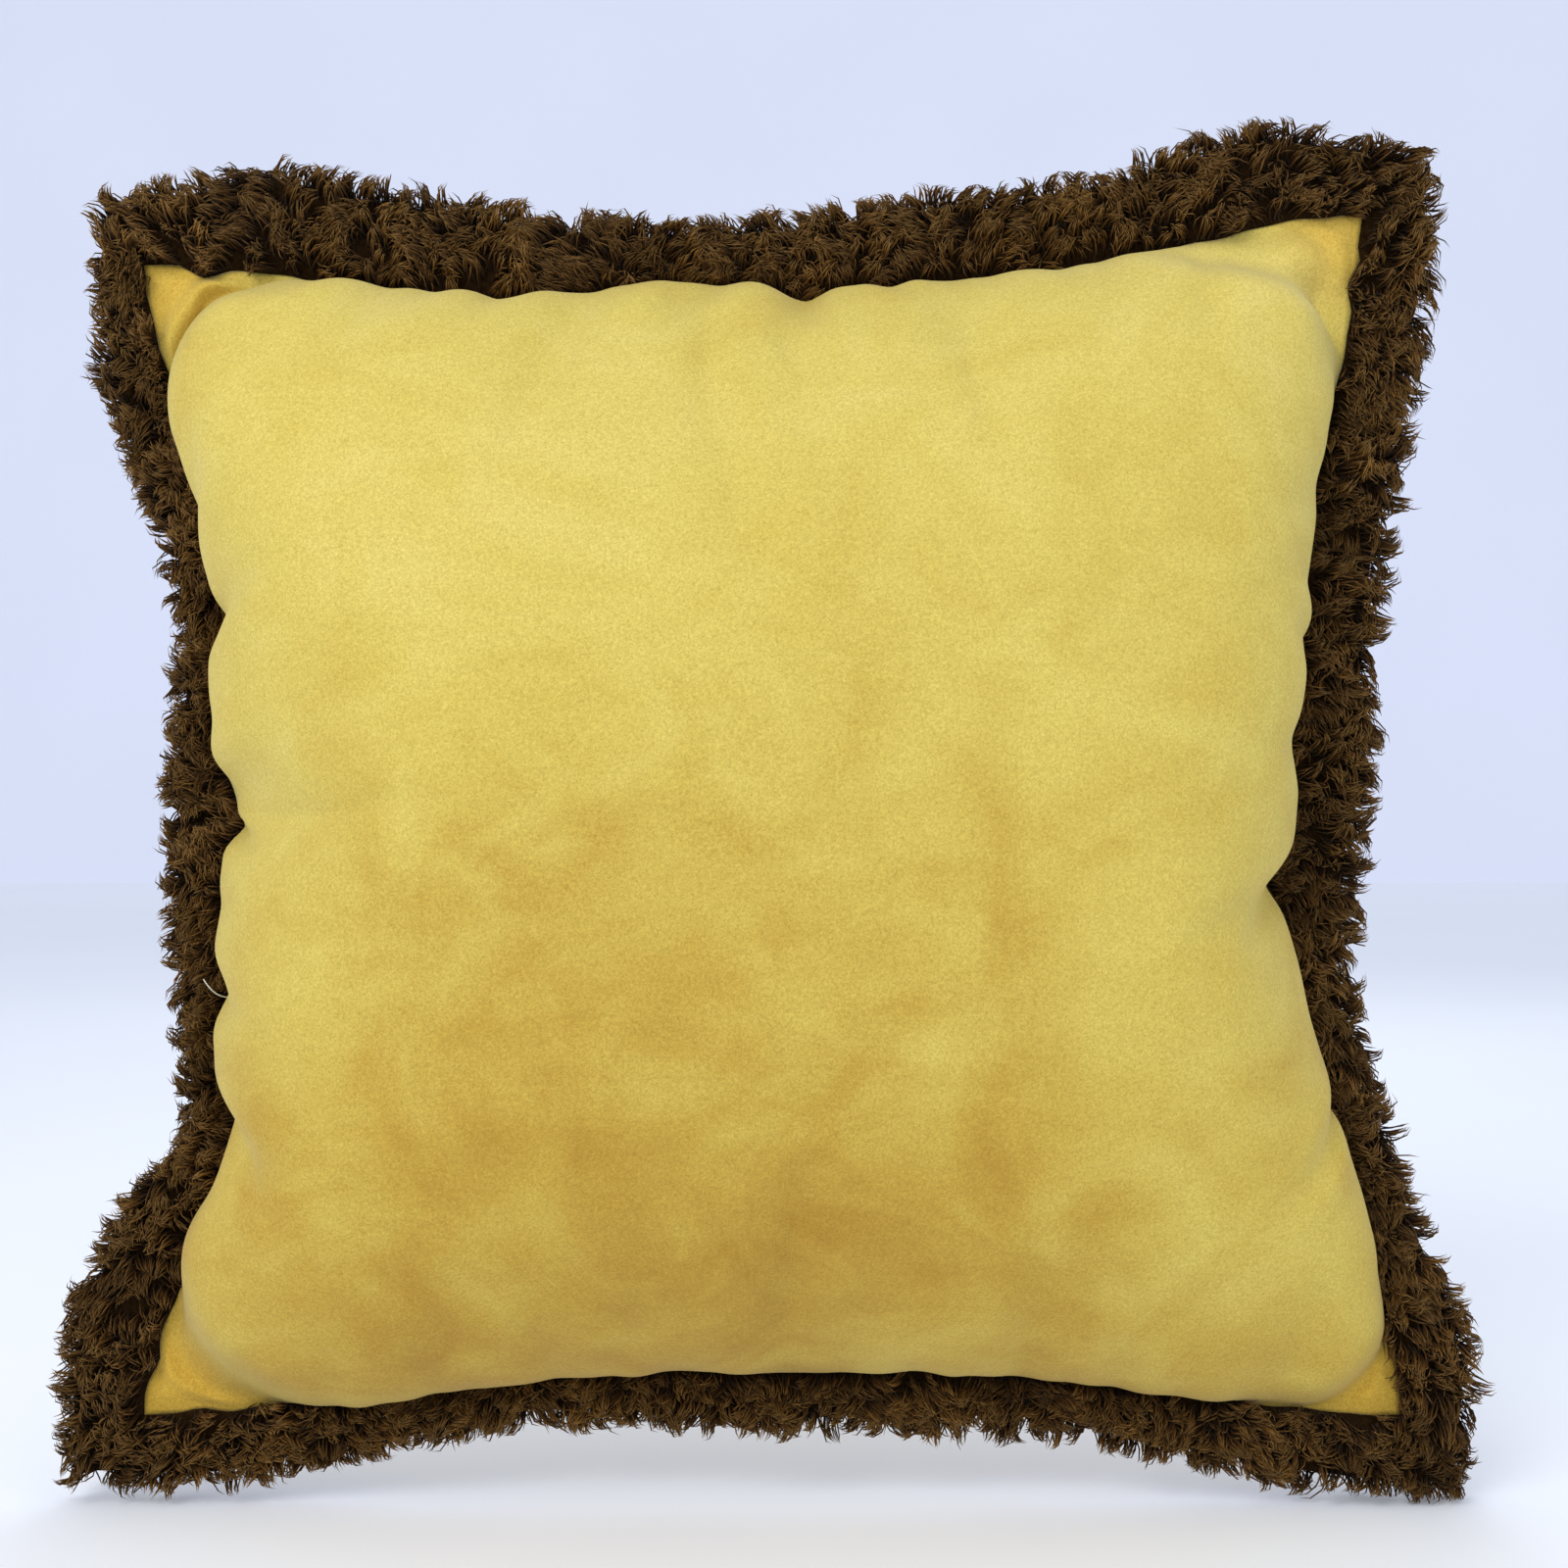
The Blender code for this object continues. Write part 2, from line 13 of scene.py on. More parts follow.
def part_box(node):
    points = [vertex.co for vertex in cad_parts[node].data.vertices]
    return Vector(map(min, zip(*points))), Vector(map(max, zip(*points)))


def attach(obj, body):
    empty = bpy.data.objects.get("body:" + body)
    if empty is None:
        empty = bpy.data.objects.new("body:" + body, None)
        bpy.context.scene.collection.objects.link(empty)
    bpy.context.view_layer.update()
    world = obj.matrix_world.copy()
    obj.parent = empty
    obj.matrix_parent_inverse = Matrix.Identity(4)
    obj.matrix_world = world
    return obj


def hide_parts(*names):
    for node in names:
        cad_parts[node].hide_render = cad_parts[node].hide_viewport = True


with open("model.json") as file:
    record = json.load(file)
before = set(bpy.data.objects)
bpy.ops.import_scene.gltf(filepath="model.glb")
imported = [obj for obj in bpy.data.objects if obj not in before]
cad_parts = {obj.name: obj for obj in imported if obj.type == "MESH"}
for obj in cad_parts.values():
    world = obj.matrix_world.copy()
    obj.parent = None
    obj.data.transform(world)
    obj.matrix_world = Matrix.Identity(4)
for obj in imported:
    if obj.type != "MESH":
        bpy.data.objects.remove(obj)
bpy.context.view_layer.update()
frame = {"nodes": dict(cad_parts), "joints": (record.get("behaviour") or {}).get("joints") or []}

seam_low, seam_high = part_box("front_panel")

# The seam, as the pattern cutter draws it, in metres. The two upper corners stand at their own places.
LEFT, RIGHT = seam_low.x, seam_high.x
BOTTOM, TOP = seam_low.z, seam_high.z
MIDDLE = (TOP + BOTTOM) / 2
TOP_RIGHT_INSET = 0.0135
TOP_LEFT_DROP = 0.018
CORNERS = {
    "bottom_left": (LEFT, BOTTOM),
    "bottom_right": (RIGHT, BOTTOM),
    "top_right": (RIGHT - TOP_RIGHT_INSET, TOP),
    "top_left": (LEFT, TOP - TOP_LEFT_DROP),
}
PULL_IN = {"bottom": 0.016, "right": 0.037, "top": 0.0185, "left": 0.031}
PULL_REACH = {"bottom": 0.35, "right": 0.40, "top": 0.30, "left": 0.27}
HALF_DEPTH = -seam_low.y
SEAM_WAVER = 0.0004
SEAM_HALF_GAP = 0.0012

# The cloth as it was cut, flat, and the mesh that is simulated.
CUT_WIDTH = 0.470
CUT_HEIGHT = 0.452
CUT_LOWER = 0.126
CUT_UPPER = CUT_HEIGHT - CUT_LOWER
CLOTH_CELL = 0.0042
FABRIC = 0.0012
EDGE = 1e-4

# The zip: a level arc about an upright axis, on a cone that leans with the pillow's back.
slide = next(joint for joint in frame["joints"] if joint["name"] == "zip_slide")
ZIP_AXIS_Y, ZIP_HEIGHT = slide["pos_m"][1], slide["pos_m"][2]
ZIP_CROWN = 0.0746
ZIP_RADIUS = ZIP_CROWN - ZIP_AXIS_Y
ZIP_SLOPE = radians(12.5)
ZIP_SLOT = 0.0045
SLOT_SHUT = 0.0003
SLOT_CLOSES = (0.1455, 0.1535)
HEM = 0.013
HEM_LENGTH = 0.3735
HEM_FALLS = 0.156
CONE_REACH = 0.170

# The flange: a folded strip of pile cloth, and the pile that stands on it.
PILE_STANDS = 0.0074
FOLD_THICKNESS = 0.0040
FLAT_PART = 0.84
FLAT_WIDTH = 0.9
SEAM_THICKNESS = 0.35
CORNER_REACH = 0.045
STRIP_OVERLAP = 0.003

CAMERA_DISTANCE = 0.74
CAMERA_PLACE = (0.004, -CAMERA_DISTANCE, 0.2495)
SENSOR = 36
VIEW_WIDTH = 0.546
FLOOR_RADIUS = 9.0
WALL_DISTANCE = 4.6
WALL_HALF_WIDTH = 7
WALL_HEIGHT = 6
WALL_FOOT = 0.5
WALL_LIFT = 0.0005


def mix(a, b, share):
    return a + (b - a) * share


def smooth(low, high, value):
    share = np.clip((value - low) / (high - low), 0, 1)
    return share * share * (3 - 2 * share)


# ---- camera, light and stage


def link(made):
    bpy.context.collection.objects.link(made)
    return made


def make_object(work, name, material, rounded=True):
    """Turn a finished bmesh into an object with one material."""
    mesh = bpy.data.meshes.new(name)
    work.to_mesh(mesh)
    work.free()
    if rounded:
        mesh.shade_smooth()
    mesh.materials.append(material)
    return link(bpy.data.objects.new(name, mesh))


def aim(made, target):
    made.rotation_euler = (Vector(target) - made.location).to_track_quat("-Z", "Y").to_euler()


def add_camera():
    lens = bpy.data.cameras.new("camera")
    lens.sensor_width = SENSOR
    lens.lens = SENSOR * CAMERA_DISTANCE / VIEW_WIDTH
    camera = link(bpy.data.objects.new("camera", lens))
    camera.location = CAMERA_PLACE
    camera.rotation_euler = (pi / 2, 0, 0)
    bpy.context.scene.camera = camera


def add_area_light(name, place, target, size, watts, colour):
    light = bpy.data.lights.new(name, "AREA")
    light.shape = "DISK"
    light.size = size
    light.energy = watts
    light.color = colour
    made = link(bpy.data.objects.new(name, light))
    made.location = place
    aim(made, target)


def add_lights():
    bpy.context.scene.view_settings.view_transform = "Standard"
    add_area_light("window_light", (-0.75, -1.35, 1.35), (0, 0, 0.25), 1.1, 17.1, (1.0, 0.985, 0.95))
    add_area_light("room_light", (0.9, -1.3, 0.75), (0, 0, 0.2), 1.4, 3.9, (0.93, 0.96, 1.0))
    add_area_light("back_light", (0.3, 1.3, 1.3), (0, 0, 0.25), 1.4, 5, (0.96, 0.98, 1.0))
    world = bpy.data.worlds.new("soft_room")
    world.use_nodes = True
    sky = world.node_tree.nodes["Background"]
    sky.inputs["Color"].default_value = (0.80, 0.87, 1.0, 1)
    sky.inputs["Strength"].default_value = 0.75
    bpy.context.scene.world = world


def add_stage():
    """A pale round floor and, behind the pillow, a pale wall with a rounded foot."""
    outline = bmesh.new()
    bmesh.ops.create_circle(outline, cap_ends=True, segments=96, radius=FLOOR_RADIUS)
    floor = make_object(outline, "floor", paper("floor_paper", (0.87, 0.885, 0.925), 0.12), rounded=False)

    sweep = bmesh.new()
    start = sweep.verts.new((0, WALL_DISTANCE, WALL_LIFT))
    centre = (0, WALL_DISTANCE, WALL_LIFT + WALL_FOOT)
    bmesh.ops.spin(sweep, geom=[start], cent=centre, axis=(1, 0, 0), angle=pi / 2, steps=24, use_merge=False)
    top = max(sweep.verts, key=lambda vertex: vertex.co.z)
    raised = bmesh.ops.extrude_vert_indiv(sweep, verts=[top])["verts"]
    bmesh.ops.translate(sweep, verts=raised, vec=(0, 0, WALL_HEIGHT))
    bmesh.ops.translate(sweep, verts=sweep.verts, vec=(-WALL_HALF_WIDTH, 0, 0))
    wide = bmesh.ops.extrude_edge_only(sweep, edges=sweep.edges)["geom"]
    moved = [part for part in wide if isinstance(part, bmesh.types.BMVert)]
    bmesh.ops.translate(sweep, verts=moved, vec=(2 * WALL_HALF_WIDTH, 0, 0))
    wall = make_object(sweep, "backdrop", paper("backdrop_paper", (0.775, 0.795, 0.895), 0.205))


# ---- materials


def shader_material(name, values):
    """A new material, with its shader's uniform values set."""
    made = bpy.data.materials.new(name)
    made.use_nodes = True
    shader = made.node_tree.nodes["Principled BSDF"]
    for key, value in values.items():
        shader.inputs[key].default_value = value
    return made, made.node_tree, shader


def add_node(tree, kind, values=(), **settings):
    """A node with its settings and the values of its inputs."""
    made = tree.nodes.new(kind)
    for key, value in settings.items():
        setattr(made, key, value)
    for key, value in dict(values).items():
        made.inputs[key].default_value = value
    return made


def place_on_object(tree, scale=(1, 1, 1), turn=(0, 0, 0)):
    """Object coordinates, turned and stretched."""
    where = add_node(tree, "ShaderNodeTexCoord")
    mapping = add_node(tree, "ShaderNodeMapping", {"Rotation": turn, "Scale": scale})
    tree.links.new(where.outputs["Object"], mapping.inputs["Vector"])
    return mapping.outputs["Vector"]


def noise(tree, where, scale, detail=2.0, roughness=0.5, distortion=0.0):
    values = {"Scale": scale, "Detail": detail, "Roughness": roughness, "Distortion": distortion}
    made = add_node(tree, "ShaderNodeTexNoise", values)
    tree.links.new(where, made.inputs["Vector"])
    return made.outputs["Fac"]


def feed(tree, socket, value):
    if isinstance(value, bpy.types.NodeSocket):
        tree.links.new(value, socket)
    else:
        socket.default_value = value


def calc(tree, operation, a, b=0.0, clamp=False):
    made = add_node(tree, "ShaderNodeMath", operation=operation, use_clamp=clamp)
    feed(tree, made.inputs[0], a)
    feed(tree, made.inputs[1], b)
    return made.outputs[0]


def add_terms(tree, total, *terms):
    """Add values, each times its weight."""
    for value, weight in terms:
        total = calc(tree, "ADD", total, calc(tree, "MULTIPLY", value, weight))
    return total


def rescale(tree, value, low, high, to_low=0.0, to_high=1.0, smooth_ends=False):
    values = {"From Min": low, "From Max": high, "To Min": to_low, "To Max": to_high}
    ends = "SMOOTHSTEP" if smooth_ends else "LINEAR"
    made = add_node(tree, "ShaderNodeMapRange", values, clamp=True, interpolation_type=ends)
    tree.links.new(value, made.inputs["Value"])
    return made.outputs["Result"]


def ramp(tree, value, stops):
    made = add_node(tree, "ShaderNodeValToRGB")
    points = made.color_ramp.elements
    while len(points) < len(stops):
        points.new(0.5)
    for point, (place, colour) in zip(points, stops):
        point.position = place
        point.color = (*colour, 1)
    tree.links.new(value, made.inputs["Fac"])
    return made.outputs["Color"]


def blend_colour(tree, kind, share, a, b):
    made = add_node(tree, "ShaderNodeMix", data_type="RGBA", blend_type=kind)
    feed(tree, made.inputs["Factor"], share)
    feed(tree, made.inputs[6], a)
    feed(tree, made.inputs[7], b)
    return made.outputs[2]


def bump(tree, shader, height, strength, distance):
    made = add_node(tree, "ShaderNodeBump", {"Strength": strength, "Distance": distance})
    tree.links.new(height, made.inputs["Height"])
    tree.links.new(made.outputs["Normal"], shader.inputs["Normal"])


def paper(name, colour, glow):
    """Pale paper, lifted a little by the room's light behind it."""
    values = {"Emission Color": (0.90, 0.93, 1.0, 1), "Emission Strength": glow}
    made, tree, shader = shader_material(name, {**values, "Roughness": 0.9, "Specular IOR Level": 0.1})
    cloud = noise(tree, place_on_object(tree), 1.6, 2)
    dark = tuple(0.97 * part for part in colour)
    tree.links.new(ramp(tree, cloud, ((0.3, dark), (0.7, colour))), shader.inputs["Base Color"])
    return made


def near(tree, where, centre, inner, outer):
    """1 within inner of a point and 0 beyond outer, with a soft edge."""
    made = add_node(tree, "ShaderNodeVectorMath", {1: centre}, operation="DISTANCE")
    tree.links.new(where, made.inputs[0])
    return rescale(tree, made.outputs["Value"], inner, outer, 1, 0, smooth_ends=True)


SUEDE_TONES = (
    (0.00, (0.470, 0.280, 0.040)),
    (0.25, (0.560, 0.378, 0.062)),
    (0.50, (0.640, 0.486, 0.098)),
    (0.75, (0.690, 0.558, 0.128)),
    (1.00, (0.735, 0.600, 0.165)),
)
SUEDE_GRAIN = ((0.32, (0.80, 0.76, 0.64)), (0.64, (1.07, 1.07, 1.08)))
SUEDE_SPECKLE = ((0.34, (0.88, 0.85, 0.77)), (0.62, (1.03, 1.03, 1.04)))


def mustard_suede():
    """Short-napped microsuede: brushed light and dark patches over a fine grain."""
    made, tree, shader = shader_material(
        "mustard_suede",
        {
            "Specular IOR Level": 0.22,
            "Sheen Weight": 0.36,
            "Sheen Roughness": 0.38,
            "Sheen Tint": (1.0, 0.88, 0.56, 1),
        },
    )
    where = place_on_object(tree)
    drift = noise(tree, where, 6.0, 3, 0.5, 0.6)
    patches = noise(tree, place_on_object(tree, turn=(0, radians(25), 0)), 17, 4, 0.55, 1.3)
    brushed = place_on_object(tree, turn=(0, radians(-38), 0), scale=(1, 1, 3))
    strokes = noise(tree, brushed, 26, 3, 0.6, 0.6)
    tone = add_terms(tree, 0.0, (drift, 0.50), (patches, 0.38), (strokes, 0.12))
    tone = rescale(tree, tone, 0.27, 0.69)

    worn = near(tree, where, (0.070, -HALF_DEPTH, 0.108), 0.005, 0.085)
    amber_low = near(tree, where, (-0.05, -HALF_DEPTH, 0.055), 0.01, 0.12)
    ring_out = near(tree, where, (0.112, -HALF_DEPTH, 0.100), 0.034, 0.046)
    ring_in = near(tree, where, (0.116, -HALF_DEPTH, 0.098), 0.022, 0.036)
    ring = calc(tree, "SUBTRACT", ring_out, ring_in)
    tone = add_terms(tree, tone, (worn, -0.30), (amber_low, -0.14), (ring, 0.14))
    # Painted light: the tone falls towards the bottom and rises towards the top, as if the suede were lit
    # from above.
    height = add_node(tree, "ShaderNodeSeparateXYZ")
    tree.links.new(where, height.inputs["Vector"])
    rise = rescale(tree, height.outputs["Z"], 0.06, 0.34, -0.24, 0.16)
    tone = calc(tree, "ADD", tone, rise, clamp=True)

    # Painted sheen: the flat corner flaps are tinted a deeper gold, for the light their nap catches and lets
    # through.
    flap_sheen_gold = 0.0
    for x, z in CORNERS.values():
        flap_sheen_gold = calc(tree, "ADD", flap_sheen_gold, near(tree, where, (x, 0, z), 0.012, 0.042))
    flap_sheen_gold = calc(tree, "MULTIPLY", flap_sheen_gold, 0.75, clamp=True)
    colour = blend_colour(tree, "MIX", flap_sheen_gold, ramp(tree, tone, SUEDE_TONES), (0.70, 0.445, 0.060, 1))
    grain = noise(tree, where, 1700, 3, 0.65)
    speckle = noise(tree, where, 860, 4, 0.65)
    for value, stops in ((grain, SUEDE_GRAIN), (speckle, SUEDE_SPECKLE)):
        colour = blend_colour(tree, "MULTIPLY", 1.0, colour, ramp(tree, value, stops))
    tree.links.new(colour, shader.inputs["Base Color"])
    tree.links.new(rescale(tree, tone, 0, 1, 0.96, 0.84), shader.inputs["Roughness"])
    bump(tree, shader, add_terms(tree, 0.0, (grain, 0.6), (speckle, 0.8)), 0.5, 0.0007)
    return made


# Colour along a strand from root to tip: the pile's brown, with painted shade that makes the roots near black
# as deep in the pile, and painted light that makes the tips paler where light shines on and through them.
PILE_COLOUR_ROOT_SHADE_TIP_LIGHT = (
    (0.00, (0.010, 0.0034, 0.0006)),
    (0.30, (0.031, 0.0122, 0.0018)),
    (0.62, (0.104, 0.0470, 0.0090)),
    (0.86, (0.210, 0.1140, 0.0320)),
    (1.00, (0.300, 0.1800, 0.0680)),
)
PILE_TONES = ((0.0, (0.46, 0.44, 0.42)), (0.5, (0.92, 0.92, 0.92)), (1.0, (1.60, 1.58, 1.50)))


def pile_strands():
    """Curly pile: each strand's map holds its own tone across and its root to its tip upward."""
    made, tree, shader = shader_material(
        "brown_pile",
        {
            "Roughness": 0.8,
            "Specular IOR Level": 0.07,
            "Sheen Weight": 0.08,
            "Sheen Roughness": 0.5,
            "Sheen Tint": (0.85, 0.62, 0.40, 1),
        },
    )
    strand = add_node(tree, "ShaderNodeUVMap", uv_map="OFBake")
    parts = add_node(tree, "ShaderNodeSeparateXYZ")
    tree.links.new(strand.outputs["UV"], parts.inputs["Vector"])
    # Painted shade at the roots and painted light at the tips, over the pile's brown.
    colour_root_shade_tip_light = ramp(tree, parts.outputs["Y"], PILE_COLOUR_ROOT_SHADE_TIP_LIGHT)
    tone = ramp(tree, parts.outputs["X"], PILE_TONES)
    tree.links.new(blend_colour(tree, "MULTIPLY", 1.0, colour_root_shade_tip_light, tone), shader.inputs["Base Color"])
    return made


def woven(name, dark, light, threads_a_metre, relief):
    """A plain weave of crossing threads."""
    made, tree, shader = shader_material(name, {"Roughness": 0.85, "Sheen Weight": 0.15})
    values = {"Scale": threads_a_metre / (2 * pi), "Distortion": 0.4, "Detail": 1}
    bands = []
    for turn in (0, pi / 2):
        wave = add_node(tree, "ShaderNodeTexWave", values, wave_type="BANDS", bands_direction="X")
        tree.links.new(place_on_object(tree, turn=(0, turn, 0)), wave.inputs["Vector"])
        bands.append(wave.outputs["Fac"])
    weave = calc(tree, "MULTIPLY", *bands)
    tree.links.new(ramp(tree, weave, ((0.0, dark), (0.6, light))), shader.inputs["Base Color"])
    bump(tree, shader, weave, 0.6, relief)
    return made


def zip_metal():
    """Antiqued brass: polished where it is handled and dull in between, with fine scratches."""
    made, tree, shader = shader_material("zip_metal", {"Metallic": 1.0})
    handled = noise(tree, place_on_object(tree), 260, 3, 0.6)
    scratches = noise(tree, place_on_object(tree, scale=(1, 1, 14), turn=(0, radians(20), 0)), 700, 3, 0.7)
    colour = ramp(tree, handled, ((0.32, (0.36, 0.25, 0.11)), (0.62, (0.80, 0.62, 0.32))))
    tree.links.new(colour, shader.inputs["Base Color"])
    tree.links.new(rescale(tree, scratches, 0.35, 0.65, 0.22, 0.44), shader.inputs["Roughness"])
    bump(tree, shader, scratches, 0.15, 0.0001)
    return made


# Plain materials that follow one noise: where it lies, the noise, the colours at two of its values and the
# shader's values, and for some its range of roughness and its relief.
MOTTLED = {
    "shaded_pile_ground": {
        # The pile's ground cloth: dark brown, with painted shade that makes it near black like the deep shade
        # under the pile.
        "noise": (420, 3, 0.6),
        "colours": ((0.3, (0.008, 0.0035, 0.001)), (0.7, (0.026, 0.012, 0.003))),
        "values": {"Roughness": 0.95, "Specular IOR Level": 0.05},
        "relief": (0.8, 0.0015),
    },
    "yellow_thread": {
        "place": {"turn": (0, radians(40), 0)},
        "noise": (2600, 2, 0.5),
        "colours": ((0.35, (0.46, 0.31, 0.055)), (0.65, (0.74, 0.57, 0.17))),
        "values": {"Roughness": 0.55, "Sheen Weight": 0.3},
        "relief": (0.4, 0.0002),
    },
    "pale_thread": {
        "place": {"turn": (0, radians(40), 0)},
        "noise": (2600, 2, 0.5),
        "colours": ((0.35, (0.62, 0.60, 0.52)), (0.65, (0.86, 0.85, 0.78))),
        "values": {"Roughness": 0.5},
    },
    "zip_nylon": {
        "noise": (350, 2, 0.5),
        "colours": ((0.3, (0.40, 0.27, 0.05)), (0.7, (0.58, 0.42, 0.10))),
        "roughness": (0.3, 0.7, 0.32, 0.48),
    },
    "white_satin": {
        "place": {"scale": (1, 1, 8)},
        "noise": (900, 2, 0.5),
        "colours": ((0.3, (0.74, 0.73, 0.69)), (0.7, (0.88, 0.87, 0.84))),
        "values": {"Sheen Weight": 0.2},
        "roughness": (0.3, 0.7, 0.30, 0.48),
        "relief": (0.25, 0.0002),
    },
    "polyester_fibre": {
        "noise": (240, 6, 0.75, 1.2),
        "colours": ((0.3, (0.70, 0.70, 0.69)), (0.7, (0.93, 0.93, 0.92))),
        "values": {"Roughness": 0.9, "Sheen Weight": 0.3},
        "relief": (0.8, 0.003),
    },
}


def mottled(name):
    """One of the plain materials above."""
    recipe = MOTTLED[name]
    made, tree, shader = shader_material(name, recipe.get("values", {}))
    value = noise(tree, place_on_object(tree, **recipe.get("place", {})), *recipe["noise"])
    tree.links.new(ramp(tree, value, recipe["colours"]), shader.inputs["Base Color"])
    if "roughness" in recipe:
        tree.links.new(rescale(tree, value, *recipe["roughness"]), shader.inputs["Roughness"])
    if "relief" in recipe:
        bump(tree, shader, value, *recipe["relief"])
    return made


# ---- the seam line and the surfaces' places


SIDES = {
    "bottom": {"from": "bottom_left", "to": "bottom_right", "outward": (0, -1), "phase": 0.4},
    "right": {"from": "bottom_right", "to": "top_right", "outward": (1, 0), "phase": 1.7},
    "top": {"from": "top_left", "to": "top_right", "outward": (0, 1), "phase": 3.0},
    "left": {"from": "bottom_left", "to": "top_left", "outward": (-1, 0), "phase": 4.4},
}

# Where the seam's stitches have gathered the cloth into a tuck: (share along the side, depth, half width).
TUCKS = {
    "left": (
        (0.685, 0.0035, 0.010), (0.635, 0.0025, 0.008), (0.515, 0.0070, 0.009), (0.375, 0.0035, 0.010),
        (0.230, 0.0050, 0.025), (0.100, 0.0020, 0.006), (0.050, 0.0024, 0.005),
    ),
    "right": (
        (0.615, 0.0035, 0.009), (0.550, 0.0030, 0.008), (0.455, 0.0045, 0.010), (0.380, 0.0050, 0.050),
        (0.170, 0.0030, 0.025), (0.938, 0.0036, 0.006), (0.972, 0.0014, 0.004), (0.072, 0.0020, 0.004),
    ),
    "top": (
        (0.545, 0.0060, 0.009), (0.605, 0.0040, 0.008), (0.300, 0.0020, 0.012), (0.048, 0.0040, 0.006),
    ),
    "bottom": (
        (0.615, 0.0045, 0.010), (0.430, 0.0025, 0.012), (0.800, 0.0020, 0.012), (0.045, 0.0016, 0.006),
    ),
}


def seam_place(side, share):
    """X and Z on one side's seam, at a share of the way from its left or lower corner."""
    start = np.array(CORNERS[SIDES[side]["from"]])
    end = np.array(CORNERS[SIDES[side]["to"]])
    outward = np.array(SIDES[side]["outward"])
    share = np.asarray(share, float)[..., None]
    pulled = PULL_IN[side] * smooth(0, PULL_REACH[side], np.minimum(share, 1 - share))
    phase = SIDES[side]["phase"]
    waver = np.sin(2 * pi * 11 * share + phase) + 0.7 * np.sin(2 * pi * 23 * share + 2 * phase)
    waver = SEAM_WAVER * waver * smooth(0, 0.03, np.minimum(share, 1 - share))
    return mix(start, end, share) - outward * (pulled + waver)


def side_length(side):
    start, end = (Vector(CORNERS[SIDES[side][key]]) for key in ("from", "to"))
    return (end - start).length


def tucked(side, share):
    """How far the seam's tucks draw the cloth in at each place."""
    depth = np.zeros_like(np.asarray(share, float))
    for place, deep, half_width in TUCKS[side]:
        depth = depth + deep * np.exp(-(((share - place) * side_length(side) / half_width) ** 2))
    return depth


def sewn_place(side, share):
    """X and Z on one side's seam, drawn in at its tucks."""
    share = np.asarray(share, float)
    return seam_place(side, share) - np.array(SIDES[side]["outward"]) * tucked(side, share)[..., None]


def sides_x(place, v):
    """X of the left and the right side at shares upward, by one of the two seam lines above."""
    return place("left", v)[..., 0], place("right", v)[..., 0]


def sides_z(place, u):
    """Z of the lower and the upper side at shares across, by one of the two seam lines above."""
    return place("bottom", u)[..., 1], place("top", u)[..., 1]


def outline_place(u, v):
    """X and Z inside the seam, at shares u across and v upward."""
    return mix(*sides_x(seam_place, v), u), mix(*sides_z(seam_place, u), v)


def swell(u, v):
    """The pillow's rounding from 0 at the seam to 1 at its middle."""
    across, upward = (np.clip(1 - np.abs(2 * share - 1) ** 2.4, 0, 1) for share in (u, v))
    return np.sqrt(across * upward)


# ---- the stuffed cover, by cloth simulation


def cloth_grid(columns, rows):
    """A grid of square cells, with the shares across and upward of each of its vertices."""
    grid = bmesh.new()
    bmesh.ops.create_grid(grid, x_segments=columns, y_segments=rows, size=0.5)
    grid.verts.ensure_lookup_table()
    shares = np.array([(vertex.co.x + 0.5, vertex.co.y + 0.5) for vertex in grid.verts])
    return grid, shares[:, 0], shares[:, 1]


def stacked(x, y, z):
    """Points from their X, Y and Z, any of which may be the same for all."""
    return np.stack(np.broadcast_arrays(x, y, z), -1)


def move_to(mesh, points):
    mesh.vertices.foreach_set("co", np.ascontiguousarray(points, np.float32).ravel())
    mesh.update()


def points_of(mesh):
    points = np.empty(3 * len(mesh.vertices), np.float32)
    mesh.vertices.foreach_get("co", points)
    return points.reshape(-1, 3).astype(float)


def set_cloth(modifier):
    """Close, soft cloth that is blown up from inside and held where it is sewn."""
    cloth = modifier.settings
    cloth.quality = 6
    cloth.mass = 0.3
    cloth.air_damping = 1.0
    cloth.tension_stiffness = cloth.compression_stiffness = 40
    cloth.shear_stiffness = 15
    cloth.bending_stiffness = 0.25
    cloth.tension_damping = cloth.compression_damping = cloth.shear_damping = 5
    cloth.bending_damping = 0.1
    cloth.vertex_group_mass = "sewn"
    cloth.vertex_group_pressure = "blown"
    cloth.use_pressure = True
    cloth.uniform_pressure_force = PRESSURE
    cloth.effector_weights.gravity = 0
    modifier.collision_settings.use_collision = False
    modifier.point_cache.frame_start = 1
    modifier.point_cache.frame_end = SETTLED


DRAWN_IN = 10
SETTLED = 28
PRESSURE = 100
DEPTH_LIMIT = 0.116
LAID_FLAT = 0.92
ROLL = 0.0065
ROLL_REACH = 0.026
FLAP_REACH = (0.045, 0.085)
FOLD_REACH = (0.002, 0.010)
FOLD_LEAN = 0.004
FOLD_ASKEW = 0.030
HEM_PLUMP = (0.012, 0.060)
CREASE_PULL = 0.55
CREASE_START = 0.012
WAIST_START = 0.010
WAIST_REACH = (0.03, 0.09)

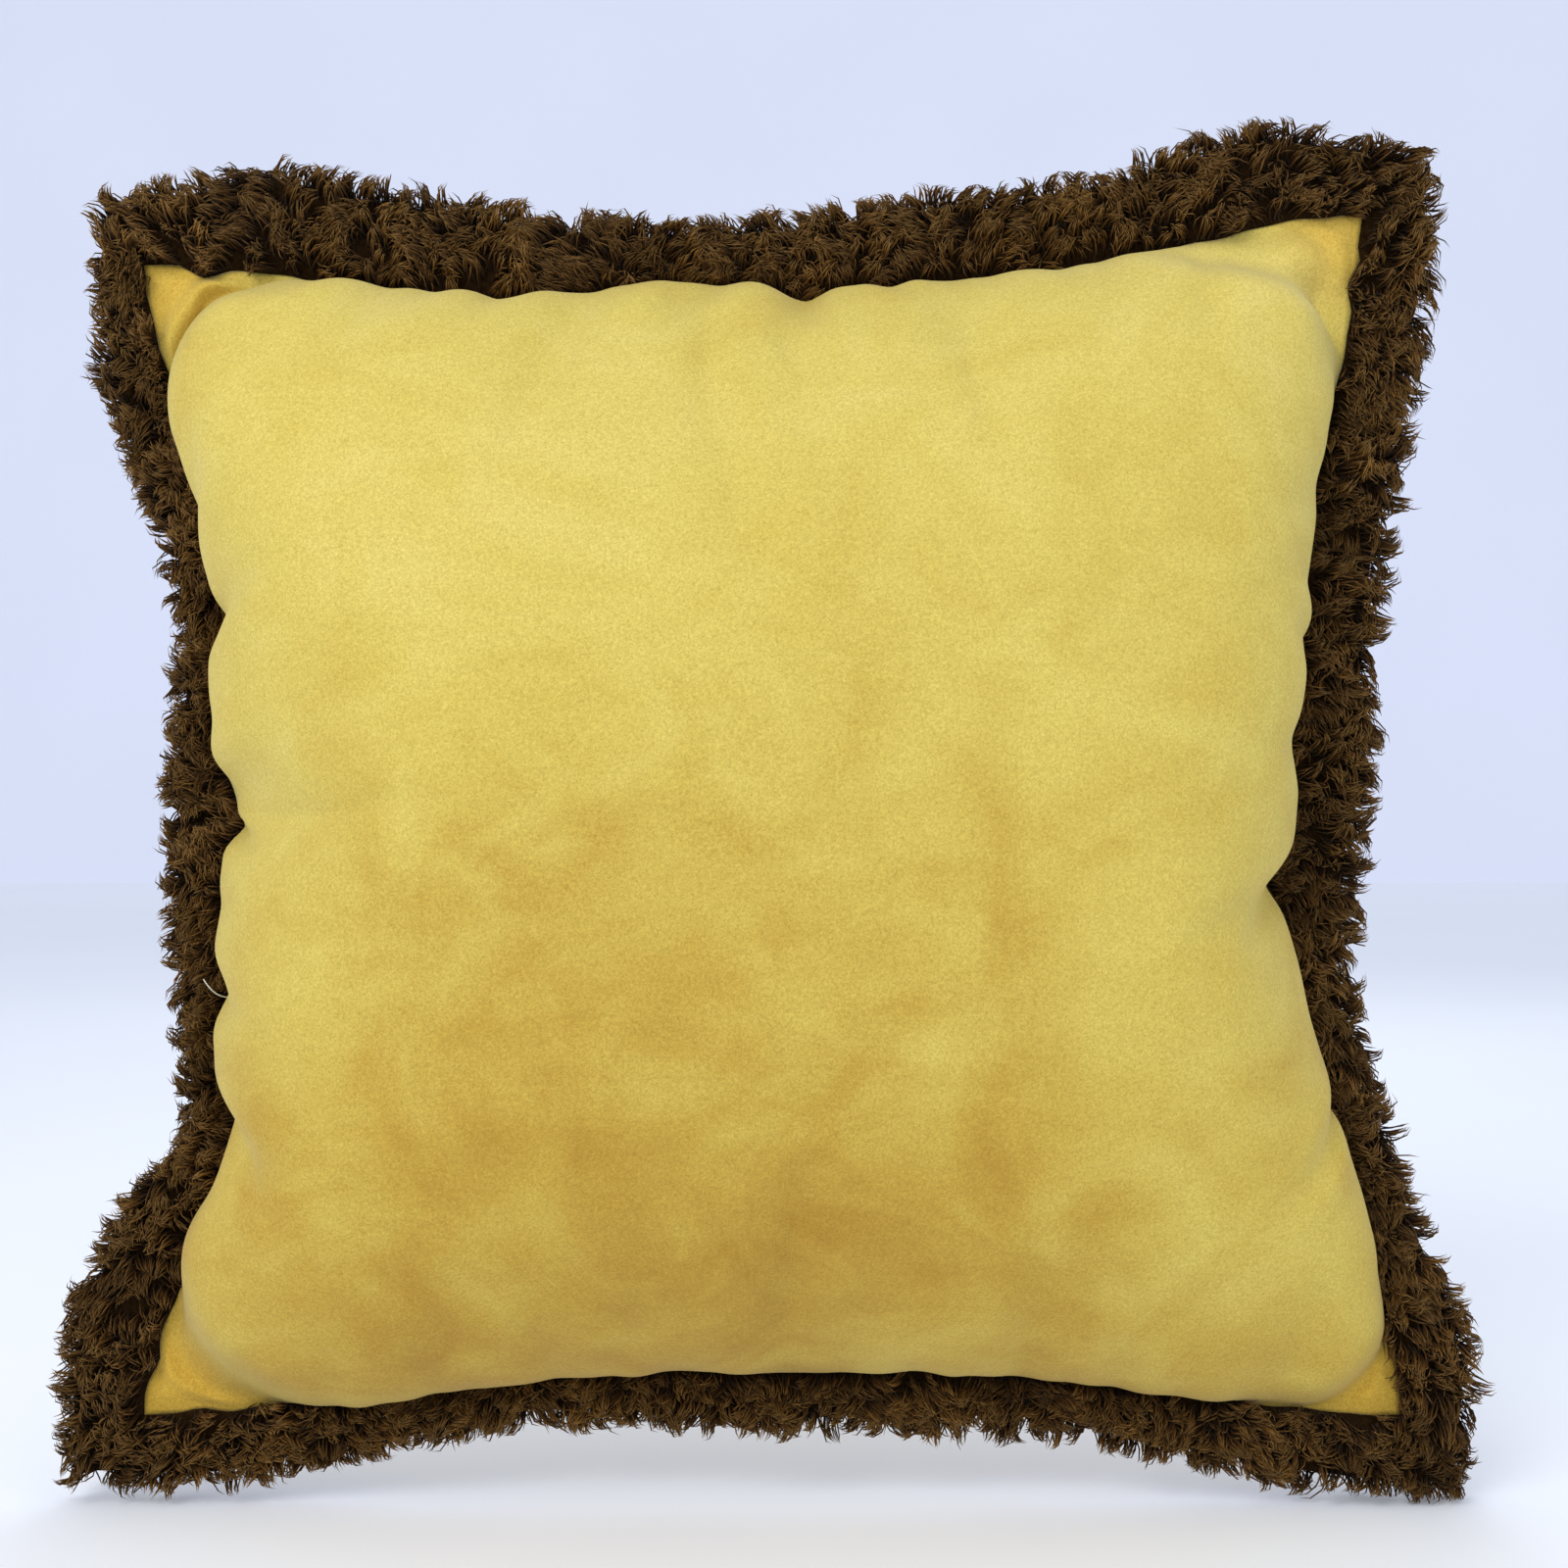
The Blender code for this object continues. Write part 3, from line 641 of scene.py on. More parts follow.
# Each corner: the radius of the insert's corner, how softly the cover falls to the empty flap beyond it, how
# far the sides roll out, and the folds across the flap: (beyond the insert, height, half width, lean).
FLAPS = {
    "bottom_left": {
        "insert": 0.060, "fall": 0.045, "roll": 0.05,
        "folds": ((0.003, 0.0056, 0.0040, -0.6), (0.0130, 0.0044, 0.0032, -0.9)),
    },
    "bottom_right": {
        "insert": 0.052, "fall": 0.022, "roll": 0.70,
        "folds": ((0.0050, 0.0044, 0.0030, 0.8), (0.0120, 0.0034, 0.0028, 0.2)),
    },
    "top_right": {
        "insert": 0.040, "fall": 0.045, "roll": 0.10,
        "folds": ((0.0020, 0.0046, 0.0045, 0.9), (0.0095, 0.0030, 0.0030, 0.9)),
    },
    "top_left": {
        "insert": 0.086, "fall": 0.024, "roll": 0.80,
        "folds": ((0.0100, 0.0085, 0.0042, 0.3), (0.0250, 0.0064, 0.0042, -0.3)),
    },
}

# Folds of the front along its sides: (side, share, reach inwards, depth, half width, slant).
CREASES = (
    ("left", 0.515, 0.050, 0.0100, 0.0044, -0.28),
    ("left", 0.545, 0.075, 0.0035, 0.0110, 0.10),
    ("left", 0.375, 0.050, 0.0032, 0.0090, 0.00),
    ("left", 0.685, 0.045, 0.0032, 0.0080, -0.10),
    ("right", 0.615, 0.055, 0.0056, 0.0090, 0.35),
    ("right", 0.550, 0.040, 0.0038, 0.0070, -0.10),
    ("right", 0.455, 0.075, 0.0044, 0.0100, -0.05),
    ("right", 0.300, 0.075, 0.0050, 0.0075, -0.60),
    ("right", 0.905, 0.105, 0.0068, 0.0110, 0.30),
    ("top", 0.545, 0.050, 0.0060, 0.0080, 0.00),
    ("top", 0.480, 0.055, 0.0034, 0.0120, -0.50),
    ("top", 0.605, 0.035, 0.0036, 0.0070, 0.20),
    ("top", 0.300, 0.040, 0.0022, 0.0100, 0.00),
    ("bottom", 0.615, 0.035, 0.0032, 0.0100, 0.00),
    ("bottom", 0.430, 0.035, 0.0024, 0.0120, 0.00),
)

# Broad waists, and with a minus sign broad swellings, of the front's outline: (side, share, in, half width).
WAISTS = (
    ("left", 0.235, 0.0045, 0.028),
    ("right", 0.330, 0.0042, 0.050),
    ("right", 0.800, 0.0046, 0.045),
    ("bottom", 0.180, -0.0030, 0.050),
    ("bottom", 0.850, -0.0015, 0.040),
    ("top", 0.450, -0.0045, 0.035),
)


def from_side(side, u, v):
    """Metres inwards from one edge of the cut cloth, metres along it, and the way inwards in X and Z."""
    inwards = {"left": u, "right": 1 - u, "bottom": v, "top": 1 - v}[side]
    way_x, way_z = -np.array(SIDES[side]["outward"])
    if side in ("left", "right"):
        return inwards * CUT_WIDTH, v * CUT_HEIGHT, CUT_HEIGHT, way_x, way_z
    return inwards * CUT_HEIGHT, u * CUT_WIDTH, CUT_WIDTH, way_x, way_z


def creased(points, u, v):
    """Fold the front where the seam has gathered it, and draw in or let out its outline."""
    moved = points.copy()
    for side, share, reach, deep, half_width, slant in CREASES:
        inwards, along, length, way_x, way_z = from_side(side, u, v)
        away = (along - share * length - slant * inwards) / half_width
        profile = (1 - 1.1 * away**2) * np.exp(-0.8 * away**2)
        groove = deep * profile * smooth(0, CREASE_START, inwards)
        groove = groove * (1 - smooth(0.35 * reach, reach, inwards))
        moved[:, 0] += CREASE_PULL * groove * way_x
        moved[:, 1] += np.minimum(groove, -moved[:, 1])
        moved[:, 2] += CREASE_PULL * groove * way_z
    for side, share, drawn, half_width in WAISTS:
        inwards, along, length, way_x, way_z = from_side(side, u, v)
        pull = drawn * np.exp(-(((along - share * length) / half_width) ** 2))
        pull = pull * smooth(0, WAIST_START, inwards) * (1 - smooth(*WAIST_REACH, inwards))
        moved[:, 0] += pull * way_x
        moved[:, 2] += pull * way_z
    return moved


def beyond_insert(u, v):
    """How far a place on the cut cloth lies outside the insert's rounded outline, and the way out."""
    x, z = (u - 0.5) * CUT_WIDTH, (v - 0.5) * CUT_HEIGHT
    beyond, way_x, way_z = np.full_like(x, -1.0), np.zeros_like(x), np.zeros_like(x)
    for name, flap in FLAPS.items():
        round_corner = flap["insert"]
        sign_x = -1 if "left" in name else 1
        sign_z = -1 if "bottom" in name else 1
        from_x = sign_x * x - (CUT_WIDTH / 2 - round_corner)
        from_z = sign_z * z - (CUT_HEIGHT / 2 - round_corner)
        round_part = (from_x > 0) & (from_z > 0)
        distance = np.where(round_part, np.hypot(from_x, from_z), np.maximum(from_x, from_z)) - round_corner
        nearest = distance > beyond
        length = np.maximum(np.hypot(from_x, from_z), 1e-6)
        along_x = np.where(round_part, from_x / length, from_x > from_z)
        along_z = np.where(round_part, from_z / length, from_x <= from_z)
        beyond = np.where(nearest, distance, beyond)
        way_x = np.where(nearest, sign_x * along_x, way_x)
        way_z = np.where(nearest, sign_z * along_z, way_z)
    return beyond, way_x, way_z


def filled(u, v):
    """1 where the insert fills the cover and 0 in the empty corners that its round corners leave."""
    return 1 - smooth(-0.006, 0.006, beyond_insert(u, v)[0])


def plump(points, u, v):
    """Hold the depth to the insert's, lay the empty corners flat and roll the sides out over the seam."""
    depth = np.abs(points[:, 1])
    side = np.sign(points[:, 1].sum())
    depth = depth / (1 + (depth / DEPTH_LIMIT) ** 3) ** (1 / 3)
    beyond, way_x, way_z = beyond_insert(u, v)
    rolled = np.ones_like(depth)
    for name, flap in FLAPS.items():
        corner_x = u if "left" in name else 1 - u
        corner_z = v if "bottom" in name else 1 - v
        from_corner = np.hypot(corner_x * CUT_WIDTH, corner_z * CUT_HEIGHT)
        at_corner = 1 - smooth(*FLAP_REACH, from_corner)
        laid = mix(1, smooth(0.001, -flap["fall"], beyond), at_corner * LAID_FLAT)
        depth = np.maximum(depth * laid, SEAM_HALF_GAP * 0.6)
        rolled = mix(rolled, flap["roll"], at_corner)
        askew = np.clip((corner_x * CUT_WIDTH - corner_z * CUT_HEIGHT) / FOLD_ASKEW, -1, 1)
        in_flap = at_corner * smooth(*FOLD_REACH, np.minimum(corner_x, corner_z) * CUT_HEIGHT)
        for place, height, half_width, lean in flap["folds"]:
            ridge = np.exp(-(((beyond - place - FOLD_LEAN * lean * askew) / half_width) ** 2))
            depth = depth + height * ridge * in_flap * (1 + 0.6 * lean * askew)
    inside = np.maximum(-beyond, 0) / ROLL_REACH
    roll = ROLL * rolled * inside * np.exp(1 - inside)
    moved = points.copy()
    moved[:, 0] += roll * way_x
    moved[:, 1] = side * depth
    moved[:, 2] += roll * way_z
    return moved


def put_verts(work, points):
    for vertex, point in zip(work.verts, points):
        vertex.co = point


def posed(mesh, points):
    """A cloth's mesh with its vertices at the given points."""
    work = bmesh.new()
    work.from_mesh(mesh)
    put_verts(work, points)
    return work


def soften(work, verts, factor):
    bmesh.ops.smooth_vert(work, verts=verts, factor=factor, use_axis_x=True, use_axis_y=True, use_axis_z=True)


def eased(mesh, points, held, times):
    """Even out the small wrinkles of a simulated cloth, away from where it is sewn."""
    work = posed(mesh, points)
    inner = [vertex for vertex, sewn in zip(work.verts, held) if not sewn]
    for _ in range(times):
        soften(work, inner, 0.5)
    smoothed = np.array([vertex.co for vertex in work.verts])
    work.free()
    return smoothed


def stuff_cloth(mesh, flat, sewn, held, blown):
    """Blow up a flat cloth while its sewn edge is drawn from the cut outline to the seam's."""
    move_to(mesh, flat)
    cloth = link(bpy.data.objects.new("cloth", mesh))
    cloth.vertex_groups.new(name="sewn").add([int(k) for k in np.flatnonzero(held)], 1, "REPLACE")
    fill = cloth.vertex_groups.new(name="blown")
    for index, weight in enumerate(blown):
        fill.add([index], float(weight), "REPLACE")
    cloth.shape_key_add(name="cut")
    drawn = cloth.shape_key_add(name="drawn_in")
    drawn.data.foreach_set("co", np.ascontiguousarray(sewn, np.float32).ravel())
    for share, when in ((0, 1), (1, DRAWN_IN)):
        drawn.value = share
        drawn.keyframe_insert("value", frame=when)
    set_cloth(cloth.modifiers.new("cloth", "CLOTH"))
    for when in range(1, SETTLED + 1):
        bpy.context.scene.frame_set(when)
    settled = cloth.evaluated_get(bpy.context.evaluated_depsgraph_get()).to_mesh()
    points = points_of(settled)
    action = cloth.data.shape_keys.animation_data.action
    bpy.data.objects.remove(cloth)
    bpy.data.actions.remove(action)
    bpy.context.scene.frame_set(1)
    return points


def finish_cloth(name, mesh, points, suede):
    """Give a stuffed cloth its place, its thickness and a finer surface."""
    work = posed(mesh, points)
    soften(work, [vertex for vertex in work.verts if not vertex.is_boundary], 0.35)
    made = make_object(work, name, suede)
    finer = made.modifiers.new("finer", "SUBSURF")
    finer.levels = finer.render_levels = 1
    finer.boundary_smooth = "PRESERVE_CORNERS"
    thick = made.modifiers.new("thickness", "SOLIDIFY")
    thick.thickness = FABRIC
    thick.offset = -1
    return made


def face_towards(grid, sign):
    """Turn a flat grid's faces towards -Y or +Y."""
    grid.normal_update()
    first = next(iter(grid.faces))
    if first.normal.y * sign < 0:
        bmesh.ops.reverse_faces(grid, faces=grid.faces)


def cut_cloth(name, height, sign):
    """A flat upright cloth that faces -Y or +Y, with the shares across and upward of each of its vertices."""
    grid, u, v = cloth_grid(round(CUT_WIDTH / CLOTH_CELL), round(height / CLOTH_CELL))
    bmesh.ops.rotate(grid, verts=grid.verts, cent=(0, 0, 0), matrix=Matrix.Rotation(pi / 2, 3, "X"))
    face_towards(grid, sign)
    mesh = bpy.data.meshes.new(name)
    grid.to_mesh(mesh)
    grid.free()
    return mesh, u, v


def front_cloth(suede):
    """The front panel, held all round by the seam."""
    mesh, u, v = cut_cloth("front_cloth", CUT_HEIGHT, -1)
    at_left, at_right, at_bottom, at_top = u < EDGE, u > 1 - EDGE, v < EDGE, v > 1 - EDGE
    held = at_left | at_right | at_bottom | at_top
    x, z = outline_place(u, v)
    sewn_left, sewn_right = sides_x(sewn_place, v)
    sewn_low, sewn_high = sides_z(sewn_place, u)
    x = np.where(at_left, sewn_left, np.where(at_right, sewn_right, x))
    z = np.where(at_bottom, sewn_low, np.where(at_top, sewn_high, z))
    flat = stacked((u - 0.5) * CUT_WIDTH, -SEAM_HALF_GAP, (v - 0.5) * CUT_HEIGHT + MIDDLE)
    domed = stacked(x, -SEAM_HALF_GAP - HALF_DEPTH * swell(u, v), z)
    sewn = np.where(held[:, None], stacked(x, -SEAM_HALF_GAP, z), domed)
    points = stuff_cloth(mesh.copy(), flat, sewn, held, filled(u, v))
    points = creased(plump(eased(mesh, points, held, 3), u, v), u, v)
    return finish_cloth("suede_front", mesh, points, suede)


def back_cloth(part, suede):
    """The lower or upper back panel, whose hem lies flat along the zip."""
    is_lower = part == "lower"
    way = -1 if is_lower else 1
    cut_height = CUT_LOWER if is_lower else CUT_UPPER
    mesh, u, v = cut_cloth(f"{part}_cloth", cut_height, 1)
    from_hem = (1 - v if is_lower else v) * cut_height
    at_left, at_right = u < EDGE, u > 1 - EDGE
    at_side = at_left | at_right
    at_seam = v < EDGE if is_lower else v > 1 - EDGE
    on_hem = from_hem < HEM
    held = at_side | at_seam | on_hem

    low, high = sides_z(seam_place, u)
    closing = smooth(*SLOT_CLOSES, np.abs((u - 0.5) * HEM_LENGTH))
    edge = ZIP_HEIGHT + way * mix(ZIP_SLOT, SLOT_SHUT, closing)
    z = mix(low, edge, v) if is_lower else mix(edge, high, v)
    whole_v = (z - low) / (high - low)
    z = np.where(on_hem, edge + way * from_hem * cos(ZIP_SLOPE), z)
    hem_left, hem_right = sides_x(seam_place, (edge - low) / (high - low))
    x = np.where(on_hem & ~at_side, mix(hem_left, hem_right, u), mix(*sides_x(seam_place, whole_v), u))
    hem_y = hem_depth(x, z, (hem_right + hem_left) / 2, (hem_right - hem_left) / 2)
    y = np.where(on_hem, hem_y, SEAM_HALF_GAP + HALF_DEPTH * swell(u, whole_v))
    y = np.where(at_side | at_seam, SEAM_HALF_GAP, y)
    sewn_left, sewn_right = sides_x(sewn_place, whole_v)
    x = np.where(at_left, sewn_left, np.where(at_right, sewn_right, x))
    z = np.where(at_seam, sides_z(sewn_place, u)[0 if is_lower else 1], z)

    base = MIDDLE - CUT_HEIGHT / 2 + (0 if is_lower else CUT_LOWER)
    flat = stacked((u - 0.5) * CUT_WIDTH, SEAM_HALF_GAP, base + v * cut_height)
    sewn = stacked(x, y, z)
    whole = v * CUT_LOWER / CUT_HEIGHT if is_lower else mix(CUT_LOWER / CUT_HEIGHT, 1, v)
    points = stuff_cloth(mesh.copy(), flat, sewn, held, filled(u, whole))
    points = eased(mesh, points, held, 2)
    on_zip = (1 - smooth(*HEM_PLUMP, from_hem))[:, None]
    points = mix(plump(points, u, whole), points, on_zip)
    return finish_cloth(f"suede_back_{part}", mesh, points, suede)


def hem_depth(x, z, centre, half):
    """Y along the hems: the zip's cone, and past its ends a steep fall to the side seam."""
    radius = ZIP_RADIUS + (z - ZIP_HEIGHT) * tan(ZIP_SLOPE)
    reach = np.minimum(np.abs(x), CONE_REACH)
    cone = ZIP_AXIS_Y + np.sqrt(radius**2 - reach**2)
    past = np.clip((np.abs(x - centre) - HEM_FALLS) / (half - HEM_FALLS), 0, 1)
    return mix(SEAM_HALF_GAP, cone, np.sqrt(np.clip(1 - past**2, 0, 1)))


# ---- the insert, inside the cover


INSERT_DEPTH = 0.060
INSERT_CELLS = 60
INSERT_ROUND = 0.45


def insert_shell(name, shrink, material):
    """A closed, stuffed layer inside the cover: both halves of a cushion joined round their edge."""
    work = bmesh.new()
    for side in (-1, 1):
        half, u, v = cloth_grid(INSERT_CELLS, INSERT_CELLS)
        across, upward = 2 * u - 1, 2 * v - 1
        x, z = outline_place(
            (across * np.sqrt(1 - INSERT_ROUND * upward**2) + 1) / 2,
            (upward * np.sqrt(1 - INSERT_ROUND * across**2) + 1) / 2,
        )
        depth = np.maximum(INSERT_DEPTH * swell(u, v) * shrink - 0.001, 0)
        points = stacked(x * shrink, side * depth, MIDDLE + (z - MIDDLE) * shrink)
        put_verts(half, points)
        face_towards(half, side)
        sheet = bpy.data.meshes.new("half")
        half.to_mesh(sheet)
        half.free()
        work.from_mesh(sheet)
        bpy.data.meshes.remove(sheet)
    bmesh.ops.remove_doubles(work, verts=work.verts, dist=0.0001)
    bmesh.ops.recalc_face_normals(work, faces=work.faces)
    return make_object(work, name, material)


# ---- the flange


# The way from each of the seam's corners to the corner of the folded cloth under the pile.
CORNER_OUT = {
    "bottom_left": (-0.0225, -0.0195),
    "bottom_right": (0.0190, -0.0220),
    "top_right": (0.0190, 0.0185),
    "top_left": (-0.0125, 0.0190),
}


def flange_reach(side, share):
    """The way from the seam to the fold's outer edge, in X and Z."""
    straight = smooth(0, CORNER_REACH, np.minimum(share, 1 - share) * side_length(side))[..., None]
    start, end = (np.array(CORNER_OUT[SIDES[side][key]]) for key in ("from", "to"))
    at_corner = np.where((share < 0.5)[..., None], start, end)
    return mix(at_corner, np.array(SIDES[side]["outward"]) * fold_width(side, share)[..., None], straight)


# How far the pile reaches from the seam: (share along the side, width in metres).
REACHES = {
    "left": (
        (0.00, 0.0430), (0.10, 0.0375), (0.19, 0.0340), (0.25, 0.0175), (0.33, 0.0215), (0.45, 0.0250),
        (0.58, 0.0250), (0.64, 0.0225), (0.685, 0.0180), (0.74, 0.0260), (0.82, 0.0300), (0.92, 0.0265),
        (1.00, 0.0270),
    ),
    "right": (
        (0.00, 0.0410), (0.08, 0.0330), (0.15, 0.0240), (0.25, 0.0250), (0.44, 0.0290), (0.52, 0.0350),
        (0.60, 0.0395), (0.68, 0.0380), (0.76, 0.0345), (0.83, 0.0290), (0.92, 0.0300), (1.00, 0.0360),
    ),
    "top": (
        (0.00, 0.0400), (0.15, 0.0400), (0.26, 0.0385), (0.36, 0.0295), (0.46, 0.0260), (0.60, 0.0320),
        (0.80, 0.0350), (0.92, 0.0395), (1.00, 0.0420),
    ),
    "bottom": (
        (0.00, 0.0330), (0.15, 0.0240), (0.35, 0.0205), (0.57, 0.0240), (0.80, 0.0240), (1.00, 0.0330),
    ),
}


def fold_width(side, share):
    """Width of the folded cloth under the pile, eased between the places where it is given."""
    places, widths = zip(*REACHES[side])
    nudged = [np.interp(share + step, places, widths) for step in (-0.03, -0.015, 0, 0.015, 0.03)]
    return np.mean(nudged, axis=0) - PILE_STANDS


def flange_place(side, share, across):
    """X and Z at a share of the fold's width from the seam."""
    across = across[..., None]
    return mix(sewn_place(side, share), seam_place(side, share), across) + flange_reach(side, share) * across


# The ripples of a sewn strip out of its plane: (height, waves along a side, times the side's phase).
RIPPLES = ((0.0022, 3.1, 1), (0.0012, 7.3, 2))


def flange_wave(side, share):
    """How far the flange ripples out of its plane."""
    phase = SIDES[side]["phase"]
    ends = np.sin(pi * np.clip(share, 0, 1)) ** 0.5
    return sum(
        height * ends * np.sin(2 * pi * waves * share + times * phase) for height, waves, times in RIPPLES
    )


def fold_surface(side, share, round_fold):
    """A point of the folded strip and its normal. The front seam is at -1, the fold at 0, the back at 1."""
    share, round_fold = np.asarray(share, float), np.asarray(round_fold, float)
    side_of = np.where(round_fold < 0, -1.0, 1.0)
    from_seam = 1 - np.abs(round_fold)
    across = np.clip(from_seam / FLAT_PART, 0, 1)
    turn = np.clip((from_seam - FLAT_PART) / (1 - FLAT_PART), 0, 1) * pi / 2
    half = FOLD_THICKNESS * mix(SEAM_THICKNESS, 1, smooth(0, 0.5, across))
    plan = flange_place(side, share, across * FLAT_WIDTH + (1 - FLAT_WIDTH) * np.sin(turn))
    y = side_of * half * np.cos(turn) + flange_wave(side, share) * across
    reach = flange_reach(side, share)
    reach = reach / np.linalg.norm(reach, axis=-1, keepdims=True)
    outward = stacked(reach[..., 0], 0.0, reach[..., 1])
    facing = stacked(0.0, side_of, 0.0)
    normal = facing * np.cos(turn)[..., None] + outward * np.sin(turn)[..., None]
    return stacked(plan[..., 0], y, plan[..., 1]), normal, outward


def folded_strip(side, ground):
    """The strip's cloth: a closed band from the seam, round the fold and back."""
    band = bmesh.new()
    bmesh.ops.create_grid(band, x_segments=96, y_segments=20, size=0.5)
    shares = np.array([(vertex.co.x + 0.5, vertex.co.y * 2) for vertex in band.verts])
    points, _, _ = fold_surface(side, mix(-STRIP_OVERLAP, 1 + STRIP_OVERLAP, shares[:, 0]), shares[:, 1])
    put_verts(band, points)
    band.verts.ensure_lookup_table()
    rims = [
        edge
        for edge in band.edges
        if edge.is_boundary and all(abs(shares[vertex.index, 1]) > 0.999 for vertex in edge.verts)
    ]
    bmesh.ops.bridge_loops(band, edges=rims)
    bmesh.ops.holes_fill(band, edges=[edge for edge in band.edges if edge.is_boundary], sides=0)
    bmesh.ops.recalc_face_normals(band, faces=band.faces)
    if band.calc_volume(signed=True) < 0:
        bmesh.ops.reverse_faces(band, faces=band.faces)
    return make_object(band, f"folded_strip_{side}", ground)


# The pile's locks: how many stand on each half of a strip, and how they lean (at the fold, and by the seam at
# the corners and under the bulge), wander, bend and differ in length.
LOCKS = {"front": 780, "back": 600}
UNDER_BULGE = (0.045, 0.100)
FOLD_LOCK_LEAN = 0.55
SEAM_LOCK_LEANS = (-0.10, 1.5)
LEAN_DRIFT = 0.30
ALONG_DRIFT = 0.50
ALONG_SPREAD = 0.22
HEADING_SPREAD = 0.15
BENDS = (0.5, 2.0)
LENGTHS = (0.88, 1.18)
WAVES = (-0.0009, 0.0009)
TONE_DRIFT = 0.17
TONE_SPREAD = 0.11

# The strands of a lock: their spread, the share of it that is drawn together at the tip, their frizz and
# strays. Levels and widths run from root to tip.
STRANDS_A_LOCK = 15
LOCK_SPREAD = 0.0019
GATHERED = 0.70
STRAND_LENGTHS = (0.60, 1.06)
FRIZZ = 0.00080
STRAY_SHARE = 0.06
STRAY = 0.0018
STRAND_TONE_SPREAD = 0.09
LEVELS = (0.0, 0.34, 0.68, 1.0)
STRAND_WIDTHS = (0.00029, 0.00031, 0.00026, 0.0)


def strand_pattern():
    """One strand of pile: a three-sided taper of unit length, cut into three lengths."""
    strand = bmesh.new()
    bmesh.ops.create_cone(strand, cap_ends=True, segments=3, radius1=1, radius2=0, depth=1)
    bmesh.ops.translate(strand, verts=strand.verts, vec=(0, 0, 0.5))
    for height in LEVELS[1:-1]:
        whole = strand.verts[:] + strand.edges[:] + strand.faces[:]
        bmesh.ops.bisect_plane(strand, geom=whole, plane_co=(0, 0, height), plane_no=(0, 0, 1))
    bmesh.ops.remove_doubles(strand, verts=strand.verts, dist=0.0001)
    strand.verts.ensure_lookup_table()
    strand.verts.index_update()
    places = np.array([vertex.co for vertex in strand.verts])
    faces = [[vertex.index for vertex in face.verts] for face in strand.faces]
    strand.free()
    return places, faces


def normalised(vectors):
    return vectors / np.maximum(np.linalg.norm(vectors, axis=-1, keepdims=True), 1e-9)


# How the pile of each strip lies: its drift along the strip, its droop and the length it stands.
LIE = {
    "bottom": {"along": 0.10, "droop": 0.10, "length": 0.0094},
    "right": {"along": -0.45, "droop": 0.25, "length": 0.0108},
    "top": {"along": -0.15, "droop": -0.05, "length": 0.0098},
    "left": {"along": 0.10, "droop": 0.30, "length": 0.0098},
}


def slow_drift(share, fold, length, random):
    """A smooth wander over a strip, from -1 to 1, by which neighbouring locks lie alike."""
    total = np.zeros_like(share)
    for wavelength in (0.11, 0.06, 0.034, 0.021):
        phase, tilt = random.uniform(0, 2 * pi), random.uniform(-1, 1)
        total = total + np.sin(2 * pi * (share * length + tilt * fold * 0.02) / wavelength + phase)
    return total / 2.2


def lay_locks(side, facing, count, random):
    """Where each lock of one half of a strip stands, and how it lies, bends, how long and how light it is."""
    lie, length = LIE[side], side_length(side)
    share = (np.arange(count) + random.uniform(0, 1, count)) / count
    fold = facing * random.permutation((np.arange(count) + 0.5) / count) ** 1.05 * 0.97
    root, normal, outward = fold_surface(side, share, fold)
    axis = np.array([abs(SIDES[side]["outward"][1]), 0, abs(SIDES[side]["outward"][0])], float)
    from_fold = np.abs(fold)[:, None]
    by_seam = smooth(0.25, 1.0, from_fold)
    under_bulge = smooth(*UNDER_BULGE, np.minimum(share, 1 - share) * length)[:, None]
    drift = [slow_drift(share, fold, length, random)[:, None] for _ in range(4)]
    lean = mix(FOLD_LOCK_LEAN, mix(*SEAM_LOCK_LEANS, under_bulge), by_seam) + LEAN_DRIFT * drift[0]
    along = lie["along"] + ALONG_DRIFT * drift[1] + random.normal(0, ALONG_SPREAD, (count, 1))
    heading = normal + outward * lean + axis * along
    heading = heading + random.normal(0, HEADING_SPREAD, (count, 3)) + np.array([0, 0, -lie["droop"]])
    heading = normalised(heading)
    tangent = axis * np.sign(drift[2] + 0.6 * random.normal(0, 1, (count, 1)))
    tangent = tangent + outward * random.normal(0, 0.5, (count, 1))
    tangent = tangent + normal * random.normal(0, 0.25, (count, 1))
    bent_to = normalised(tangent - heading * (tangent * heading).sum(-1, keepdims=True))
    return {
        "share": share,
        "fold": fold,
        "root": root,
        "rise": normal,
        "heading": heading,
        "bent_to": bent_to,
        "sideways": np.cross(heading, bent_to),
        "bend": random.uniform(*BENDS, (count, 1)),
        "long": lie["length"] * random.uniform(*LENGTHS, (count, 1)) * mix(1.0, 0.85, by_seam),
        "wave": random.uniform(*WAVES, (count, 1)),
        "tone": 0.5 + TONE_DRIFT * drift[3] + random.normal(0, TONE_SPREAD, (count, 1)),
    }


def lock_line(lock, place):
    """A lock's own centre line: up from the ground and round in a comma, with a slight wave across it."""
    turned = lock["bend"] * place
    ahead = np.sin(turned) / lock["bend"] * lock["heading"]
    aside = (1 - np.cos(turned)) / lock["bend"] * lock["bent_to"]
    stem = lock["rise"] * lock["long"] * 0.5 * place * (1 - place)
    wave = lock["wave"] * np.sin(2 * pi * 0.9 * place) * lock["sideways"]
    return lock["root"] + stem + lock["long"] * (ahead + aside) + wave


